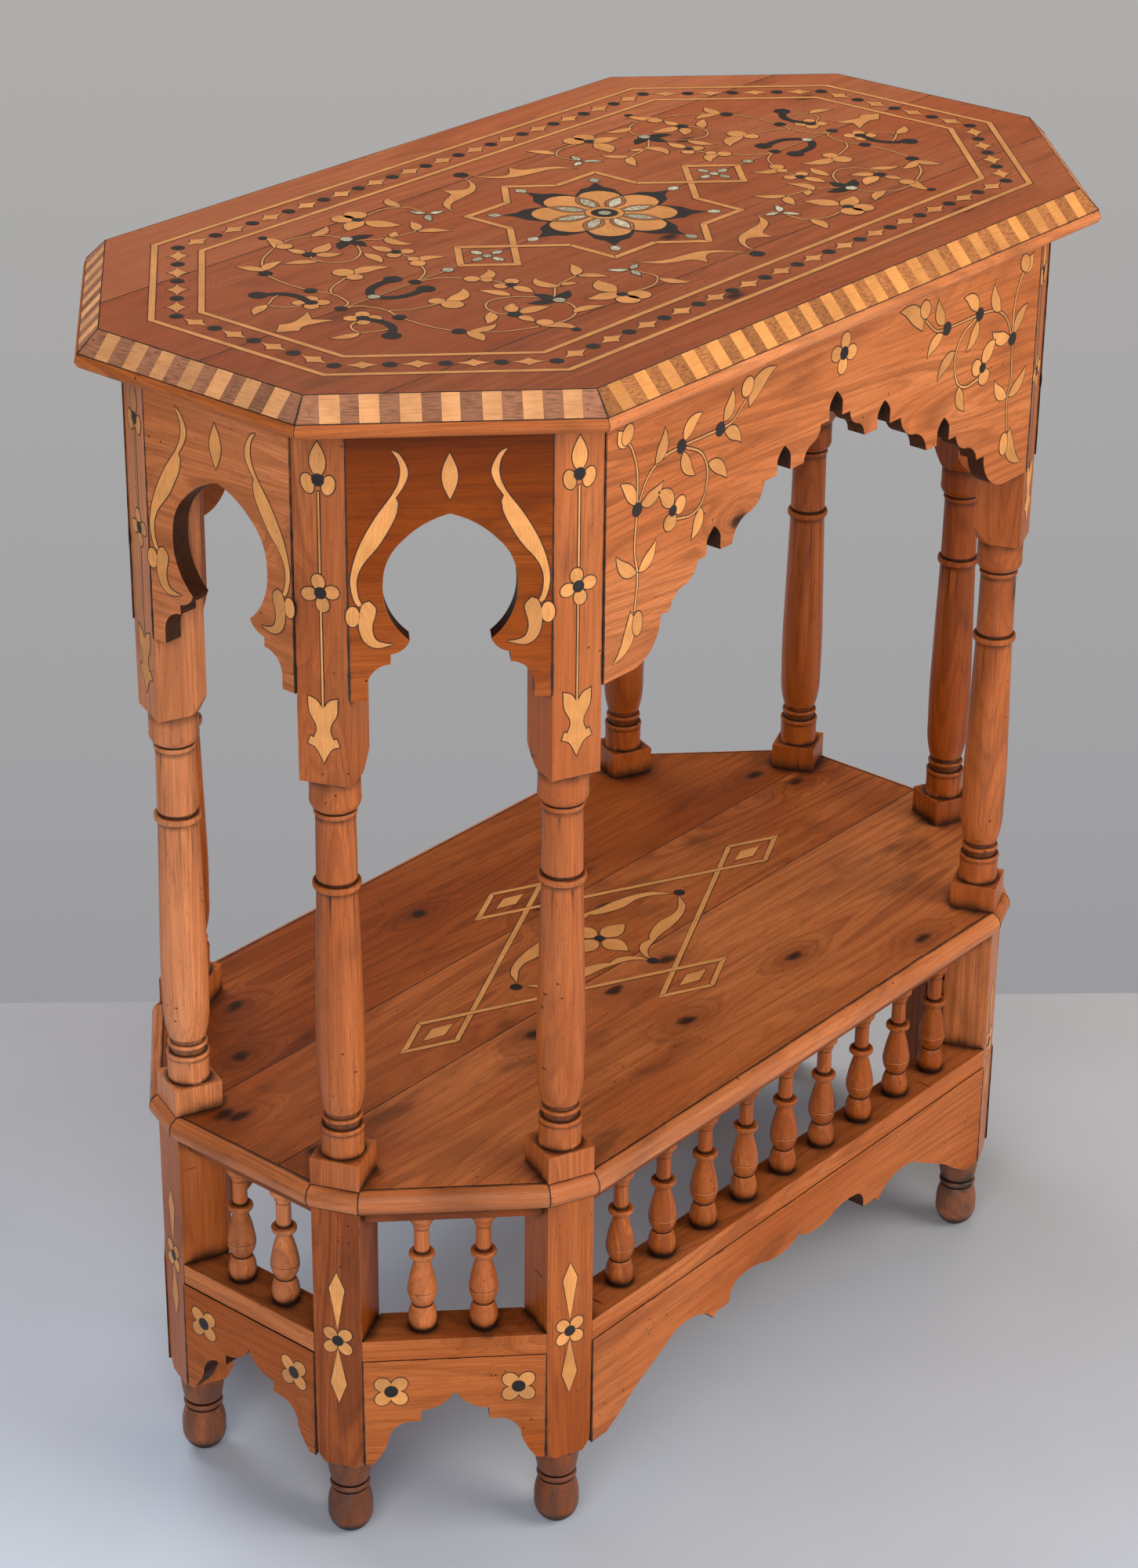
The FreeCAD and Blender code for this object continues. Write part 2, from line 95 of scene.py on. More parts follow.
FACE = -node_box("upper_apron_front")[0].y              # apron faces, from the middle of an end
STRETCH = -node_box("upper_apron_left")[0].x - FACE     # how far each end is pulled out
RAIL_FACE = -node_box("rail_front")[0].y                # rails, and the arrises of the posts
TOP = node_box("top_board_2")[1].z
BOARD_EDGE = node_box("top_board_4")[1].y               # upper arris of the bevel
EDGE = -node_box("top_edge_front")[0].y                 # outer lip of the top
APRON_TOP = node_box("upper_apron_front")[1].z
SHELF = node_box("shelf_board_2")[1].z
SHELF_EDGE = node_box("shelf_board_3")[1].y
SHELF_UNDER = node_box("shelf_board_2")[0].z
RAIL_TOP = node_box("rail_front")[1].z
COLUMN_LOW, COLUMN_HIGH = node_box("column_front_right")
POST_HALF = (COLUMN_HIGH.x - COLUMN_LOW.x) / 2 / (CORNER_COS + CORNER_SIN)
POST_BOTTOM = 54.5                                      # top of the ball feet


def linear(hex_colour):
    """An sRGB hex colour as linear red, green, blue and alpha."""
    channels = []
    for place in (1, 3, 5):
        value = int(hex_colour[place:place + 2], 16) / 255
        channels.append(value / 12.92 if value <= 0.04045 else ((value + 0.055) / 1.055) ** 2.4)
    return (*channels, 1.0)


def colour_property(name, hex_colour, description):
    return bpy.props.FloatVectorProperty(name=name, description=description, subtype="COLOR", size=4,
                                         min=0.0, max=1.0, default=linear(hex_colour))


def length_property(name, millimetres, description):
    return bpy.props.FloatProperty(name=name, description=description, unit="LENGTH", min=0.0,
                                   precision=5, default=millimetres * MM)


class TableSizes(bpy.types.PropertyGroup):
    """Sizes of the finish and the inlay."""
    arris: length_property("Arris", 0.7, "Width of the rounding that wear has put on every edge")
    inlay_rise: length_property("Inlay rise", 0.1, "How far the inlay stands proud of the wood")
    mastic: length_property("Mastic line", 0.55, "Width of the dark glue line round each piece of inlay")
    string: length_property("Border string", 3.4, "Width of the two strings round the top")
    strap: length_property("Strap", 3.8, "Width of the straps round the rosette")
    shelf_strap: length_property("Shelf strap", 3.2, "Width of the straps on the shelf")
    stem: length_property("Vine stem", 1.2, "Width of the stems of the vines")
    block: length_property("Edge block", 10.0, "Length of one light or dark block on the bevel")
    lozenge: length_property("Border lozenge", 28.5, "Spacing of the lozenges in the border of the top")


class TableColours(bpy.types.PropertyGroup):
    """Colours of the woods, the shell and the stage."""
    frame_early: colour_property("Frame early wood", "#C67540", "Early wood of the waxed frame")
    frame_late: colour_property("Frame late wood", "#84451E", "Late wood and fibres of the frame")
    frame_heart: colour_property("Frame heart", "#AE5B27", "Redder heartwood of the frame")
    top_early: colour_property("Top early wood", "#A35F3A", "Early wood of the top")
    top_late: colour_property("Top late wood", "#7E411F", "Late wood and fibres of the top")
    top_heart: colour_property("Top heart", "#9E5128", "Redder heartwood of the top")
    shelf_early: colour_property("Shelf early wood", "#B56B39", "Early wood of the shelf")
    shelf_late: colour_property("Shelf late wood", "#733A1A", "Late wood and fibres of the shelf")
    shelf_heart: colour_property("Shelf heart", "#9C5024", "Redder heartwood of the shelf")
    # The old wax colour is also the colour of the painted shade in corners
    wax: colour_property("Old wax", "#1A100B", "Dark wax in grooves, corners and knots")
    dust: colour_property("Dust", "#4A2814", "Brown dust in the wax of the joints")
    soot: colour_property("Soot", "#3E3835", "Grey dirt on feet, head rails and nosing")
    lemonwood: colour_property("Lemonwood", "#E59E5A", "Light inlay")
    lemonwood_vein: colour_property("Lemonwood vein", "#B9742F", "Veins of the light inlay")
    pearwood: colour_property("Pearwood", "#ECAC75", "Light blocks of the short sides")
    pearwood_vein: colour_property("Pearwood vein", "#BD7C42", "Veins of the pearwood")
    plumwood: colour_property("Plumwood", "#B27A5B", "Brown blocks of the short sides")
    plumwood_vein: colour_property("Plumwood vein", "#4A2A1E", "Veins of the plumwood")
    walnut: colour_property("Walnut", "#BE7A45", "Brown blocks of the long sides, and brown inlay")
    walnut_vein: colour_property("Walnut vein", "#4A2A1A", "Veins of the brown inlay")
    black: colour_property("Blackened wood", "#2A2422", "Black dots, horns and star")
    black_vein: colour_property("Blackened wood vein", "#3A3436", "Veins of the blackened wood")
    shell: colour_property("Shell", "#DAD2B6", "Pearl inlay")
    shell_shade: colour_property("Shell shade", "#8E8A6E", "Darker layers of the shell")
    floor: colour_property("Floor", "#CBD6E6", "Pale floor")
    # The far floor colour is painted shade along the wall
    floor_shade_far: colour_property("Floor, far", "#A8A9AD", "Pale floor along the wall")
    # The wall glows in these colours as painted light, darker near the floor
    wall_glow_low: colour_property("Wall, low", "#9B9B9F", "Pale wall near the floor")
    wall_glow_high: colour_property("Wall, high", "#B6B3AF", "Pale wall above the table")


# Drawing

# Wax lines: distance between their points, their even and uneven share of the width, and its two waves
WAX_STEP = 5.0
WAX_EVEN, WAX_UNEVEN = 0.7, 0.3
WAX_WAVES = (2.3, 0.7)
# Flowers: length of a petal over its width, and the eye's radius over a petal's
PETAL_COUNT = 4
PETAL_OVAL = 1.15
EYE_SHARE = 0.78
LOZENGE_HOLLOW = 0.26       # how far the sides of a star lozenge are drawn in, 0 for all the way
Piece = namedtuple("Piece", "wood outline layer along")


def left_of(way):
    """A level direction, turned a quarter turn to the left."""
    return Vector((-way.y, way.x, *way[2:]))


def heading(turn):
    """Direction in a drawing, by its turn from the x axis."""
    return Vector((math.cos(math.radians(turn)), math.sin(math.radians(turn))))


def neighbours(points):
    """Each point of a closed line with the next one."""
    return zip(points, points[1:] + points[:1])


def strip(line, halves):
    """Outline of a strip along a line, from half its width at each point."""
    left = [point + half for point, half in zip(line, halves)]
    right = [point - half for point, half in zip(line, halves)]
    return left + right[::-1]


def piece(wood, outline, layer=0, along=None):
    """A slip of inlay; its grain runs to its farthest point, unless along is given."""
    outline = [Vector((p[0], p[1])) for p in outline]
    if along is None:
        along = max(outline, key=lambda p: (p - outline[0]).length) - outline[0]
    return Piece(wood, outline, layer, Vector(along).normalized())


def curve(points, steps=5):
    """Smooth line through points."""
    points = [Vector(p) for p in points]
    ends = [points[0] * 2 - points[1]] + points + [points[-1] * 2 - points[-2]]
    line = []
    for a, b, c, d in zip(ends, ends[1:], ends[2:], ends[3:]):
        for n in range(steps):
            t = n / steps
            line.append(b + ((c - a) * t + (a * 2 - b * 5 + c * 4 - d) * t ** 2
                             + (b * 3 - a - c * 3 + d) * t ** 3) / 2)
    return line + [points[-1]]


def drawn(*stretches):
    """Closed outline of smooth stretches that meet in sharp corners."""
    outline = []
    for n, stretch in enumerate(stretches):
        after = stretches[(n + 1) % len(stretches)][0]
        outline += curve([*stretch, after])[:-1]
    return outline


def drawn_twice(half, sx, sy):
    """Closed outline whose second half mirrors the first, which ends in a point on the axis."""
    lines = [[*stretch, after[0]] for stretch, after in zip(half, half[1:])]
    back = [[(x * sx, y * sy) for x, y in line[::-1]] for line in lines[::-1]]
    return drawn(*(line[:-1] for line in lines + back))


def leaf(base, tip, width, bend=0.0, belly=0.8):
    """Pointed leaf on a bent middle line; belly under 1 puts its widest place nearer the base."""
    base, run = Vector(base), Vector(tip) - Vector(base)
    bow = left_of(run) * bend * 4
    steps = 10
    left, right = [], []
    for n in range(steps + 1):
        t = n / steps
        middle = base + run * t + bow * t * (1 - t)
        ahead = (run + bow * (1 - 2 * t)).normalized()
        half = left_of(ahead) * width / 2 * math.sin(math.pi * t ** belly)
        left.append(middle + half)
        right.append(middle - half)
    return left + right[-2:0:-1]


def disc(centre, radius, length=None, turn=0.0):
    """Round or oval piece; length is its half length along turn."""
    count = 20
    outline = []
    for n in range(count):
        a = math.tau * n / count
        point = Vector(((length or radius) * math.cos(a), radius * math.sin(a)))
        point.rotate(Matrix.Rotation(math.radians(turn), 2))
        outline.append(Vector(centre) + point)
    return outline


def ribbon(points, width):
    """Strip of even width along a smooth line."""
    line = curve(points)
    ends = line[:1] + line + line[-1:]
    halves = [left_of(after - before).normalized() * width / 2 for before, after in zip(ends, ends[2:])]
    return strip(line, halves)


def band(points, width):
    """Straight strips of even width round closed corners, mitred where they meet."""
    points = [Vector(p) for p in points]
    sides = [left_of(b - a).normalized() for a, b in neighbours(points)]
    mitres = [(a + b) * (width / 2 / (1 + a.dot(b))) for a, b in zip(sides[-1:] + sides, sides)]
    return [strip(line, halves) for line, halves in zip(neighbours(points), neighbours(mitres))]


def wax_line(start, end, width, end_width=None):
    """Dark joint line of uneven width, which can grow towards its end."""
    start, run = Vector(start), Vector(end) - Vector(start)
    count = max(2, round(run.length / WAX_STEP))
    side = left_of(run).normalized() / 2
    line, halves = [], []
    for n in range(count + 1):
        wide = width + ((end_width or width) - width) * n / count
        wave = math.sin(n * WAX_WAVES[0]) * math.cos(n * WAX_WAVES[1])
        line.append(start + run * (n / count))
        halves.append(side * wide * (WAX_EVEN + WAX_UNEVEN * wave))
    return piece("mastic", strip(line, halves), -1)


def star_lozenge(centre, along, length, height):
    """Four points joined by hollow curves."""
    along = Vector(along).normalized()
    up = left_of(along)
    steps = 6
    outline = []
    for a, b in neighbours([along * length, up * height, along * -length, up * -height]):
        pull = (a + b) * LOZENGE_HOLLOW
        for n in range(steps):
            t = n / steps
            outline.append(Vector(centre) + a * (1 - t) ** 2 + pull * 2 * t * (1 - t) + b * t ** 2)
    return outline


def flower(centre, reach, radius, turn):
    """Four round petals round a dark eye."""
    pieces = []
    for n in range(PETAL_COUNT):
        a = turn + FULL_TURN / PETAL_COUNT * n
        middle = Vector(centre) + heading(a) * reach
        pieces.append(piece("lemonwood", disc(middle, radius, radius * PETAL_OVAL, a)))
    return pieces + [piece("black", disc(centre, radius * EYE_SHARE), 2)]


def mirrored(pieces, sx, sy):
    """The same pieces, with the signs of x and y changed."""
    way = Vector((sx, sy))
    return [piece(p.wood, [v * way for v in p.outline], p.layer, p.along * way) for p in pieces]


def shifted(pieces, offset):
    """The same pieces, moved."""
    return [piece(p.wood, [v + Vector(offset) for v in p.outline], p.layer, p.along) for p in pieces]


# Places round the table

UP = Vector((0, 0, 1))


def outward(turn):
    """The way that a side faces, by its turn from the front."""
    return Vector((math.sin(math.radians(turn)), -math.cos(math.radians(turn)), 0))


def pulled(direction):
    """How far a place that faces this way is pulled out along the table."""
    if abs(direction.x) < CORNER_SIN / 2:
        return Vector((0, 0, 0))
    return Vector((math.copysign(STRETCH, direction.x), 0, 0))


def bed(place, across, up):
    """Matrix that lays a drawing in millimetres on a flat place."""
    normal = across.cross(up)
    rows = [(across[n] * MM, up[n] * MM, normal[n] * MM, place[n] * MM) for n in range(3)]
    return Matrix(rows + [(0, 0, 0, 1)])


def flat_bed(height):
    """Level place at a height, with the drawing's x along the table."""
    return bed(UP * height, Vector((1, 0, 0)), Vector((0, 1, 0)))


def side_bed(n):
    """Face of the aprons on a side, with heights from the floor."""
    face = outward(SIDE_TURN * n)
    return bed(face * FACE + pulled(face), left_of(face), UP)


def post_at(n):
    """Middle of the post at a corner, and the way that its outer face looks."""
    low, high = node_box("column_" + CORNERS[n])
    return Vector(((low.x + high.x) / 2, (low.y + high.y) / 2, 0)), outward(SIDE_TURN * n + HALF_SIDE_TURN)


def corner_bed(n):
    """Outer face of the post at a corner, with heights from the floor."""
    middle, face = post_at(n)
    return bed(middle + face * POST_HALF, left_of(face), UP)


def octagon(half):
    """Corners of the top's outline, at a distance from its middle line."""
    corners = []
    for n in range(len(SIDES)):
        face = outward(SIDE_TURN * n + HALF_SIDE_TURN)
        place = face * (half / CORNER_COS) + pulled(face)
        corners.append(place.to_2d())
    return corners


def turn_at(place):
    """Turn of the nearest side or corner, for a place in millimetres."""
    x = place.x - max(-STRETCH, min(STRETCH, place.x))
    return round(math.degrees(math.atan2(x, -place.y)) / HALF_SIDE_TURN) * HALF_SIDE_TURN


# Materials

def add(tree, kind, inputs=(), out=0, **settings):
    """Add a node with its settings and its inputs, by name or in order, and give one of its outputs."""
    made = tree.nodes.new("ShaderNode" + kind)
    for name, value in settings.items():
        setattr(made, name, value)
    for key, value in inputs.items() if isinstance(inputs, dict) else enumerate(inputs):
        if isinstance(value, bpy.types.NodeSocket):
            tree.links.new(value, made.inputs[key])
        else:
            made.inputs[key].default_value = value
    return made.outputs[out] if made.outputs else None


def new_material(name):
    """Empty material with a principled shader, which is returned with its tree."""
    material = bpy.data.materials.new(name)
    material.use_nodes = True
    tree = material.node_tree
    tree.nodes.clear()
    surface = add(tree, "BsdfPrincipled")
    add(tree, "OutputMaterial", {"Surface": surface})
    return material, tree, surface.node


def grain_scale(size, stretch):
    """Factors that turn metres along, across and through the grain into a pattern of that size."""
    step = 1 / (size * MM)
    return (step / stretch, step, step)


# Patterns in the wood: size across the grain in millimetres, how much longer it is along the grain,
# and how many finer sizes are added to it. Fibres and pores are drawn coarser than real ones, to show.
WOOD_PATTERNS = {"drift": (46.0, 13.0, 1.3), "patches": (70.0, 2.6, 2.0), "stands": (110.0, 3.0, 1.0),
                 "streaks": (3.4, 28.0, 2.0), "fibres": (0.8, 45.0, 3.0), "pores": (0.7, 9.0, 1.0),
                 "smoke": (30.0, 2.4, 4.0), "ragged": (5.0, 2.0, 3.0), "smears": (9.0, 2.0, 3.0),
                 "wormy": (34.0, 1.5, 1.0)}
# What darkens the early wood: the noise that starts it, the noise that ends it, and its strength
HEART, STREAKS = (0.36, 0.66, 0.75), (0.47, 0.75, 0.3)
FIBRES, PORES = (0.42, 0.76, 0.62), (0.66, 0.74, 0.4)
SMOKE_START, SMOKE_END = 0.54, 0.8
NOISE_ROUGHNESS = 0.55
FINE_RINGS, FINE_SHARE = 3.4, 0.75      # growth lines between the growth lines
LINE_START = 0.1
# The ranges below hold two values of a pattern, and what is given at the first and at the second
STANDS = (0.35, 0.65, 0.16, 0.52)
KNOT_SPACING, KNOT_LENGTH, KNOT_RAGGED = 62.0, 1.8, 0.09
KNOT_HALO, KNOT_CORE = (0.05, 0.4, 1.0, 0.0), (0.07, 0.14, 0.88, 0.0)
HALO_SHARE, KNOT_PULL = 0.6, 0.2        # how dark the halo is, and how far it bends the growth lines
HOLE_SPACING, HOLE_SHARE = 6.5, 0.4
HOLE_FADE, WORMY = (0.06, 0.13, 0.9, 0.0), (0.61, 0.66, 0.0, 1.0)
# How the tone of a stick changes the value, the saturation and the hue of its colour: factor and start
TONE_CHANGES = ((0.48, 0.74), (-0.07, 1.05), (0.006, 0.495))
# Dark wax and painted shade in corners, found by ambient occlusion: how far it reaches, how uneven its edge
# is, and how much duller it is
WAX_AND_SHADE_REACH, WAX_AND_SHADE_UNEVEN, WAX_AND_SHADE_DULL = 15.0, 0.36, 0.2
WAX_AND_SHADE_SAMPLES = 8
WAX_AND_SHADE_FADE, SMEAR = (0.66, 1.02, 0.97, 0.0), (0.35, 0.65, 0.55, 1.0)
RING_WAX, NICK = (0.4, 1.0, 0.0, 0.82), (0.56, 0.66, 0.0, 0.75)
WORN_LIGHT, SAWN_DARK = 0.4, 0.9
# Relief: its depth in millimetres, its strength, and the shares of the growth lines and the pores in it
WOOD_RELIEF, SLIP_RELIEF = 0.12, 0.06
WOOD_BUMP, SLIP_BUMP = 0.4, 0.25
LINE_RELIEF, PORE_RELIEF = 0.5, -0.8
# Clouds in the other finishes: their sizes in millimetres, and their ranges
BLOTCH, SPECK, PEARL_CLOUD, WAX_LUMP, FLOOR_MOTTLE = 14.0, 3.2, 3.0, 2.0, 60.0
CLOUD = (0.3, 0.7)
VEINS, SPECKS = (0.4, 0.72), (0.68, 0.78, 0.0, 0.6)
SLIP_VALUE, BLOTCH_VALUE = (0.0, 1.0, 0.76, 1.12), (0.25, 0.75, 0.84, 1.1)
LUMPS = (0.45, 0.75, 0.0, 1.0)
PEARL_TONE, PEARL_TWIST, PEARL_SHEEN = 0.3, 1.5, 0.1
# Roughness and strength of the shine
UNEVEN_SHINE, PEARL_SHINE = 0.12, (0.18, 0.34)
SLIP_GLOSS, FLOOR_GLOSS = 0.22, 0.15
WAX_ROUGH, FLOOR_ROUGH = 0.6, 0.85
# Painted shade on the floor towards the wall, and the faint mottle of the floor
FLOOR_SHADE_FADE, FLOOR_VALUE = (-0.36, 0.45, 0.0, 1.0), (0.985, 1.015)


def scattered(tree, grain, spacing, length, share):
    """Spots strewn on the face of a board: distance to the nearest, and 1 where that one is chosen."""
    place = add(tree, "VectorMath", (grain, grain_scale(spacing, length)), operation="MULTIPLY")
    cell = add(tree, "TexVoronoi", {"Vector": place, "Scale": 1.0}, out="Color", voronoi_dimensions="2D")
    chosen = add(tree, "Math", (cell, share), operation="LESS_THAN")
    return cell.node.outputs["Distance"], chosen


def wood_noise(tree, grain):
    """Noise along the grain for each pattern of the wood."""
    noise = {}
    for pattern, (size, stretch, detail) in WOOD_PATTERNS.items():
        place = add(tree, "VectorMath", (grain, grain_scale(size, stretch)), operation="MULTIPLY")
        noise[pattern] = add(tree, "TexNoise", {"Vector": place, "Scale": 1.0, "Detail": detail,
                                                "Roughness": NOISE_ROUGHNESS})
    return noise


def knots(tree, grain, noise, share):
    """Dark halo and darker core of the knots, with ragged edges."""
    away, chosen = scattered(tree, grain, KNOT_SPACING, KNOT_LENGTH, share)
    ragged = add(tree, "Math", (noise["ragged"], KNOT_RAGGED, away), operation="MULTIPLY_ADD")
    rings = []
    for fade in (KNOT_HALO, KNOT_CORE):
        ring = add(tree, "MapRange", (ragged, *fade), interpolation_type="SMOOTHSTEP")
        rings.append(add(tree, "Math", (ring, chosen), operation="MULTIPLY"))
    return rings


def worm_holes(tree, grain, noise):
    """Pin holes of woodworm, only where the wood is wormy."""
    away, chosen = scattered(tree, grain, HOLE_SPACING, 1.0, HOLE_SHARE)
    hole = add(tree, "MapRange", (away, *HOLE_FADE))
    hole = add(tree, "Math", (hole, chosen), operation="MULTIPLY")
    wormy = add(tree, "MapRange", (noise["wormy"], *WORMY))
    return add(tree, "Math", (hole, wormy), operation="MULTIPLY")


def growth_lines(tree, noise, halo, ring_count):
    """Level lines of a slow drift, coarse and fine, which close up and open out as on sawn boards."""
    drift = add(tree, "Math", (halo, KNOT_PULL, noise["drift"]), operation="MULTIPLY_ADD")
    stands = add(tree, "MapRange", (noise["stands"], *STANDS))
    lines = []
    for count, share in ((ring_count, 1.0), (ring_count * FINE_RINGS, FINE_SHARE)):
        wave = add(tree, "Math", (drift, math.tau * count), operation="MULTIPLY")
        wave = add(tree, "Math", (wave,), operation="SINE")
        wave = add(tree, "MapRange", (wave, LINE_START, 1.0, 0.0, share),
                   interpolation_type="SMOOTHSTEP")
        lines.append(add(tree, "Math", (wave, stands), operation="MULTIPLY"))
    return lines


def waxed_wood(name, early, late, heart, wax, soot, ring_count, knot_share, smoked, shine, gloss):
    """Thuya, planed, waxed and rubbed for years: fine growth lines and pores, knots, worn arrises.

    The wax gives a low, uneven shine, and has gone dark in the rings; in the corners and the joints its dark
    colour also paints shade there, from ambient occlusion.
    """
    material, tree, shader = new_material(name)
    grain = add(tree, "Attribute", out="Vector", attribute_name="grain")
    tone, worn, sawn, groove, stain = (add(tree, "Attribute", out="Fac", attribute_name=key)
                                       for key in ("tone", "worn", "sawn", "groove", "stain"))
    noise = wood_noise(tree, grain)
    halo, core = knots(tree, grain, noise, knot_share)
    hole = worm_holes(tree, grain, noise)
    lines = growth_lines(tree, noise, halo, ring_count)
    shares = {}
    for key, (low, high, strength) in (("patches", HEART), ("streaks", STREAKS), ("fibres", FIBRES),
                                       ("pores", PORES), ("smoke", (SMOKE_START, SMOKE_END, smoked))):
        shares[key] = add(tree, "MapRange", (noise[key], low, high, 0.0, strength),
                          interpolation_type="SMOOTHSTEP")
    halo = add(tree, "Math", (halo, HALO_SHARE), operation="MULTIPLY")
    colour = early
    for share, coat in ((shares["patches"], heart), (lines[0], late), (lines[1], late),
                        (shares["streaks"], late), (shares["fibres"], late), (shares["pores"], wax),
                        (shares["smoke"], wax), (halo, late), (core, wax), (hole, wax)):
        colour = add(tree, "Mix", {0: share, 6: colour, 7: coat}, out=2, data_type="RGBA")

    # A dark stick is also redder and deeper in colour than a light one
    value, depth, hue = (add(tree, "Math", (tone, factor, start), operation="MULTIPLY_ADD")
                         for factor, start in TONE_CHANGES)
    colour = add(tree, "HueSaturation", {"Hue": hue, "Color": colour, "Value": value, "Saturation": depth})

    # Wear, dirt and dark wax lie over the colour, and painted shade darkens the corners and the joints
    # Painted shade: ambient occlusion darkens the wood where other parts hem it in, in the dark wax colour
    corner = add(tree, "AmbientOcclusion", {"Distance": WAX_AND_SHADE_REACH * MM}, out="AO",
                 samples=WAX_AND_SHADE_SAMPLES)
    corner = add(tree, "Math", (noise["smears"], WAX_AND_SHADE_UNEVEN, corner), operation="MULTIPLY_ADD")
    wax_and_painted_shade = add(tree, "MapRange", (corner, *WAX_AND_SHADE_FADE), interpolation_type="SMOOTHSTEP")
    smear = add(tree, "MapRange", (noise["smears"], *SMEAR))
    wear = add(tree, "Math", (worn, WORN_LIGHT), operation="MULTIPLY")
    nick = add(tree, "MapRange", (noise["ragged"], *NICK))
    nick = add(tree, "Math", (nick, worn), operation="MULTIPLY")
    cut = add(tree, "Math", (sawn, SAWN_DARK), operation="MULTIPLY")
    dirt = add(tree, "Math", (stain, smear), operation="MULTIPLY")
    ring = add(tree, "MapRange", (groove, *RING_WAX), interpolation_type="SMOOTHSTEP")
    ring = add(tree, "Math", (ring, smear), operation="MULTIPLY")
    for share, coat in ((wear, early), (nick, wax), (cut, wax), (dirt, soot), (ring, wax), (wax_and_painted_shade, wax)):
        colour = add(tree, "Mix", {0: share, 6: colour, 7: coat}, out=2, data_type="RGBA")

    relief = add(tree, "Math", (lines[0], LINE_RELIEF, noise["fibres"]), operation="MULTIPLY_ADD")
    relief = add(tree, "Math", (shares["pores"], PORE_RELIEF, relief), operation="MULTIPLY_ADD")
    bump = add(tree, "Bump", {"Height": relief, "Strength": WOOD_BUMP, "Distance": WOOD_RELIEF * MM})
    rough = add(tree, "MapRange", (noise["patches"], *CLOUD, shine, shine + UNEVEN_SHINE))
    rough = add(tree, "Math", (wax_and_painted_shade, WAX_AND_SHADE_DULL, rough), operation="MULTIPLY_ADD")
    for socket, given in (("Base Color", colour), ("Roughness", rough), ("Normal", bump)):
        tree.links.new(given, shader.inputs[socket])
    shader.inputs["Specular IOR Level"].default_value = gloss
    return material


def inlay_wood(name, base, vein, vein_size, vein_length, shine, depth):
    """Thin slips of wood, scraped flush and waxed: straight fine veins and a dull shine.

    Each slip is a little lighter or darker than the next, because each is cut from another place.
    """
    material, tree, shader = new_material(name)
    grain = add(tree, "Attribute", out="Vector", attribute_name="grain")
    tone = add(tree, "Attribute", out="Fac", attribute_name="tone")
    along = add(tree, "VectorMath", (grain, grain_scale(vein_size, vein_length)), operation="MULTIPLY")
    veins = add(tree, "TexNoise", {"Vector": along, "Scale": 1.0, "Detail": 4.0})
    blotch = add(tree, "TexNoise", {"Vector": grain, "Scale": 1 / (BLOTCH * MM), "Detail": 2.0})
    specks = add(tree, "TexNoise", {"Vector": grain, "Scale": 1 / (SPECK * MM), "Detail": 1.0})
    share = add(tree, "MapRange", (veins, *VEINS, 0.0, depth))
    speck = add(tree, "MapRange", (specks, *SPECKS))
    colour = add(tree, "Mix", {0: share, 6: base, 7: vein}, out=2, data_type="RGBA")
    colour = add(tree, "Mix", {0: speck, 6: colour, 7: vein}, out=2, data_type="RGBA")
    slip = add(tree, "MapRange", (tone, *SLIP_VALUE))
    cloud = add(tree, "MapRange", (blotch, *BLOTCH_VALUE))
    value = add(tree, "Math", (slip, cloud), operation="MULTIPLY")
    colour = add(tree, "HueSaturation", {"Color": colour, "Value": value})
    bump = add(tree, "Bump", {"Height": veins, "Strength": SLIP_BUMP, "Distance": SLIP_RELIEF * MM})
    rough = add(tree, "MapRange", (blotch, *CLOUD, shine, shine + UNEVEN_SHINE))
    for socket, given in (("Base Color", colour), ("Roughness", rough), ("Normal", bump)):
        tree.links.new(given, shader.inputs[socket])
    shader.inputs["Specular IOR Level"].default_value = SLIP_GLOSS
    return material


def shell_inlay(name, base, shade):
    """Mother of pearl, ground flat and polished: clouded pale layers with a clear shine."""
    material, tree, shader = new_material(name)
    grain = add(tree, "Attribute", out="Vector", attribute_name="grain")
    tone = add(tree, "Attribute", out="Fac", attribute_name="tone")
    cloud = add(tree, "TexNoise", {"Vector": grain, "Scale": 1 / (PEARL_CLOUD * MM), "Detail": 3.0,
                                   "Distortion": PEARL_TWIST})
    slip = add(tree, "Math", (tone, PEARL_TONE, cloud), operation="MULTIPLY_ADD")
    layers = add(tree, "MapRange", (slip, *CLOUD, 0.0, 1.0))
    colour = add(tree, "Mix", {0: layers, 6: shade, 7: base}, out=2, data_type="RGBA")
    rough = add(tree, "MapRange", (cloud, *CLOUD, *PEARL_SHINE))
    tree.links.new(colour, shader.inputs["Base Color"])
    tree.links.new(rough, shader.inputs["Roughness"])
    shader.inputs["Sheen Weight"].default_value = PEARL_SHEEN
    return material


def mastic_line(name, wax, dust):
    """Glue and wax, squeezed up round the inlay and never wiped off: dark, matt and uneven."""
    material, tree, shader = new_material(name)
    grain = add(tree, "Attribute", out="Vector", attribute_name="grain")
    lumps = add(tree, "TexNoise", {"Vector": grain, "Scale": 1 / (WAX_LUMP * MM), "Detail": 3.0})
    share = add(tree, "MapRange", (lumps, *LUMPS))
    colour = add(tree, "Mix", {0: share, 6: wax, 7: dust}, out=2, data_type="RGBA")
    tree.links.new(colour, shader.inputs["Base Color"])
    shader.inputs["Roughness"].default_value = WAX_ROUGH
    return material


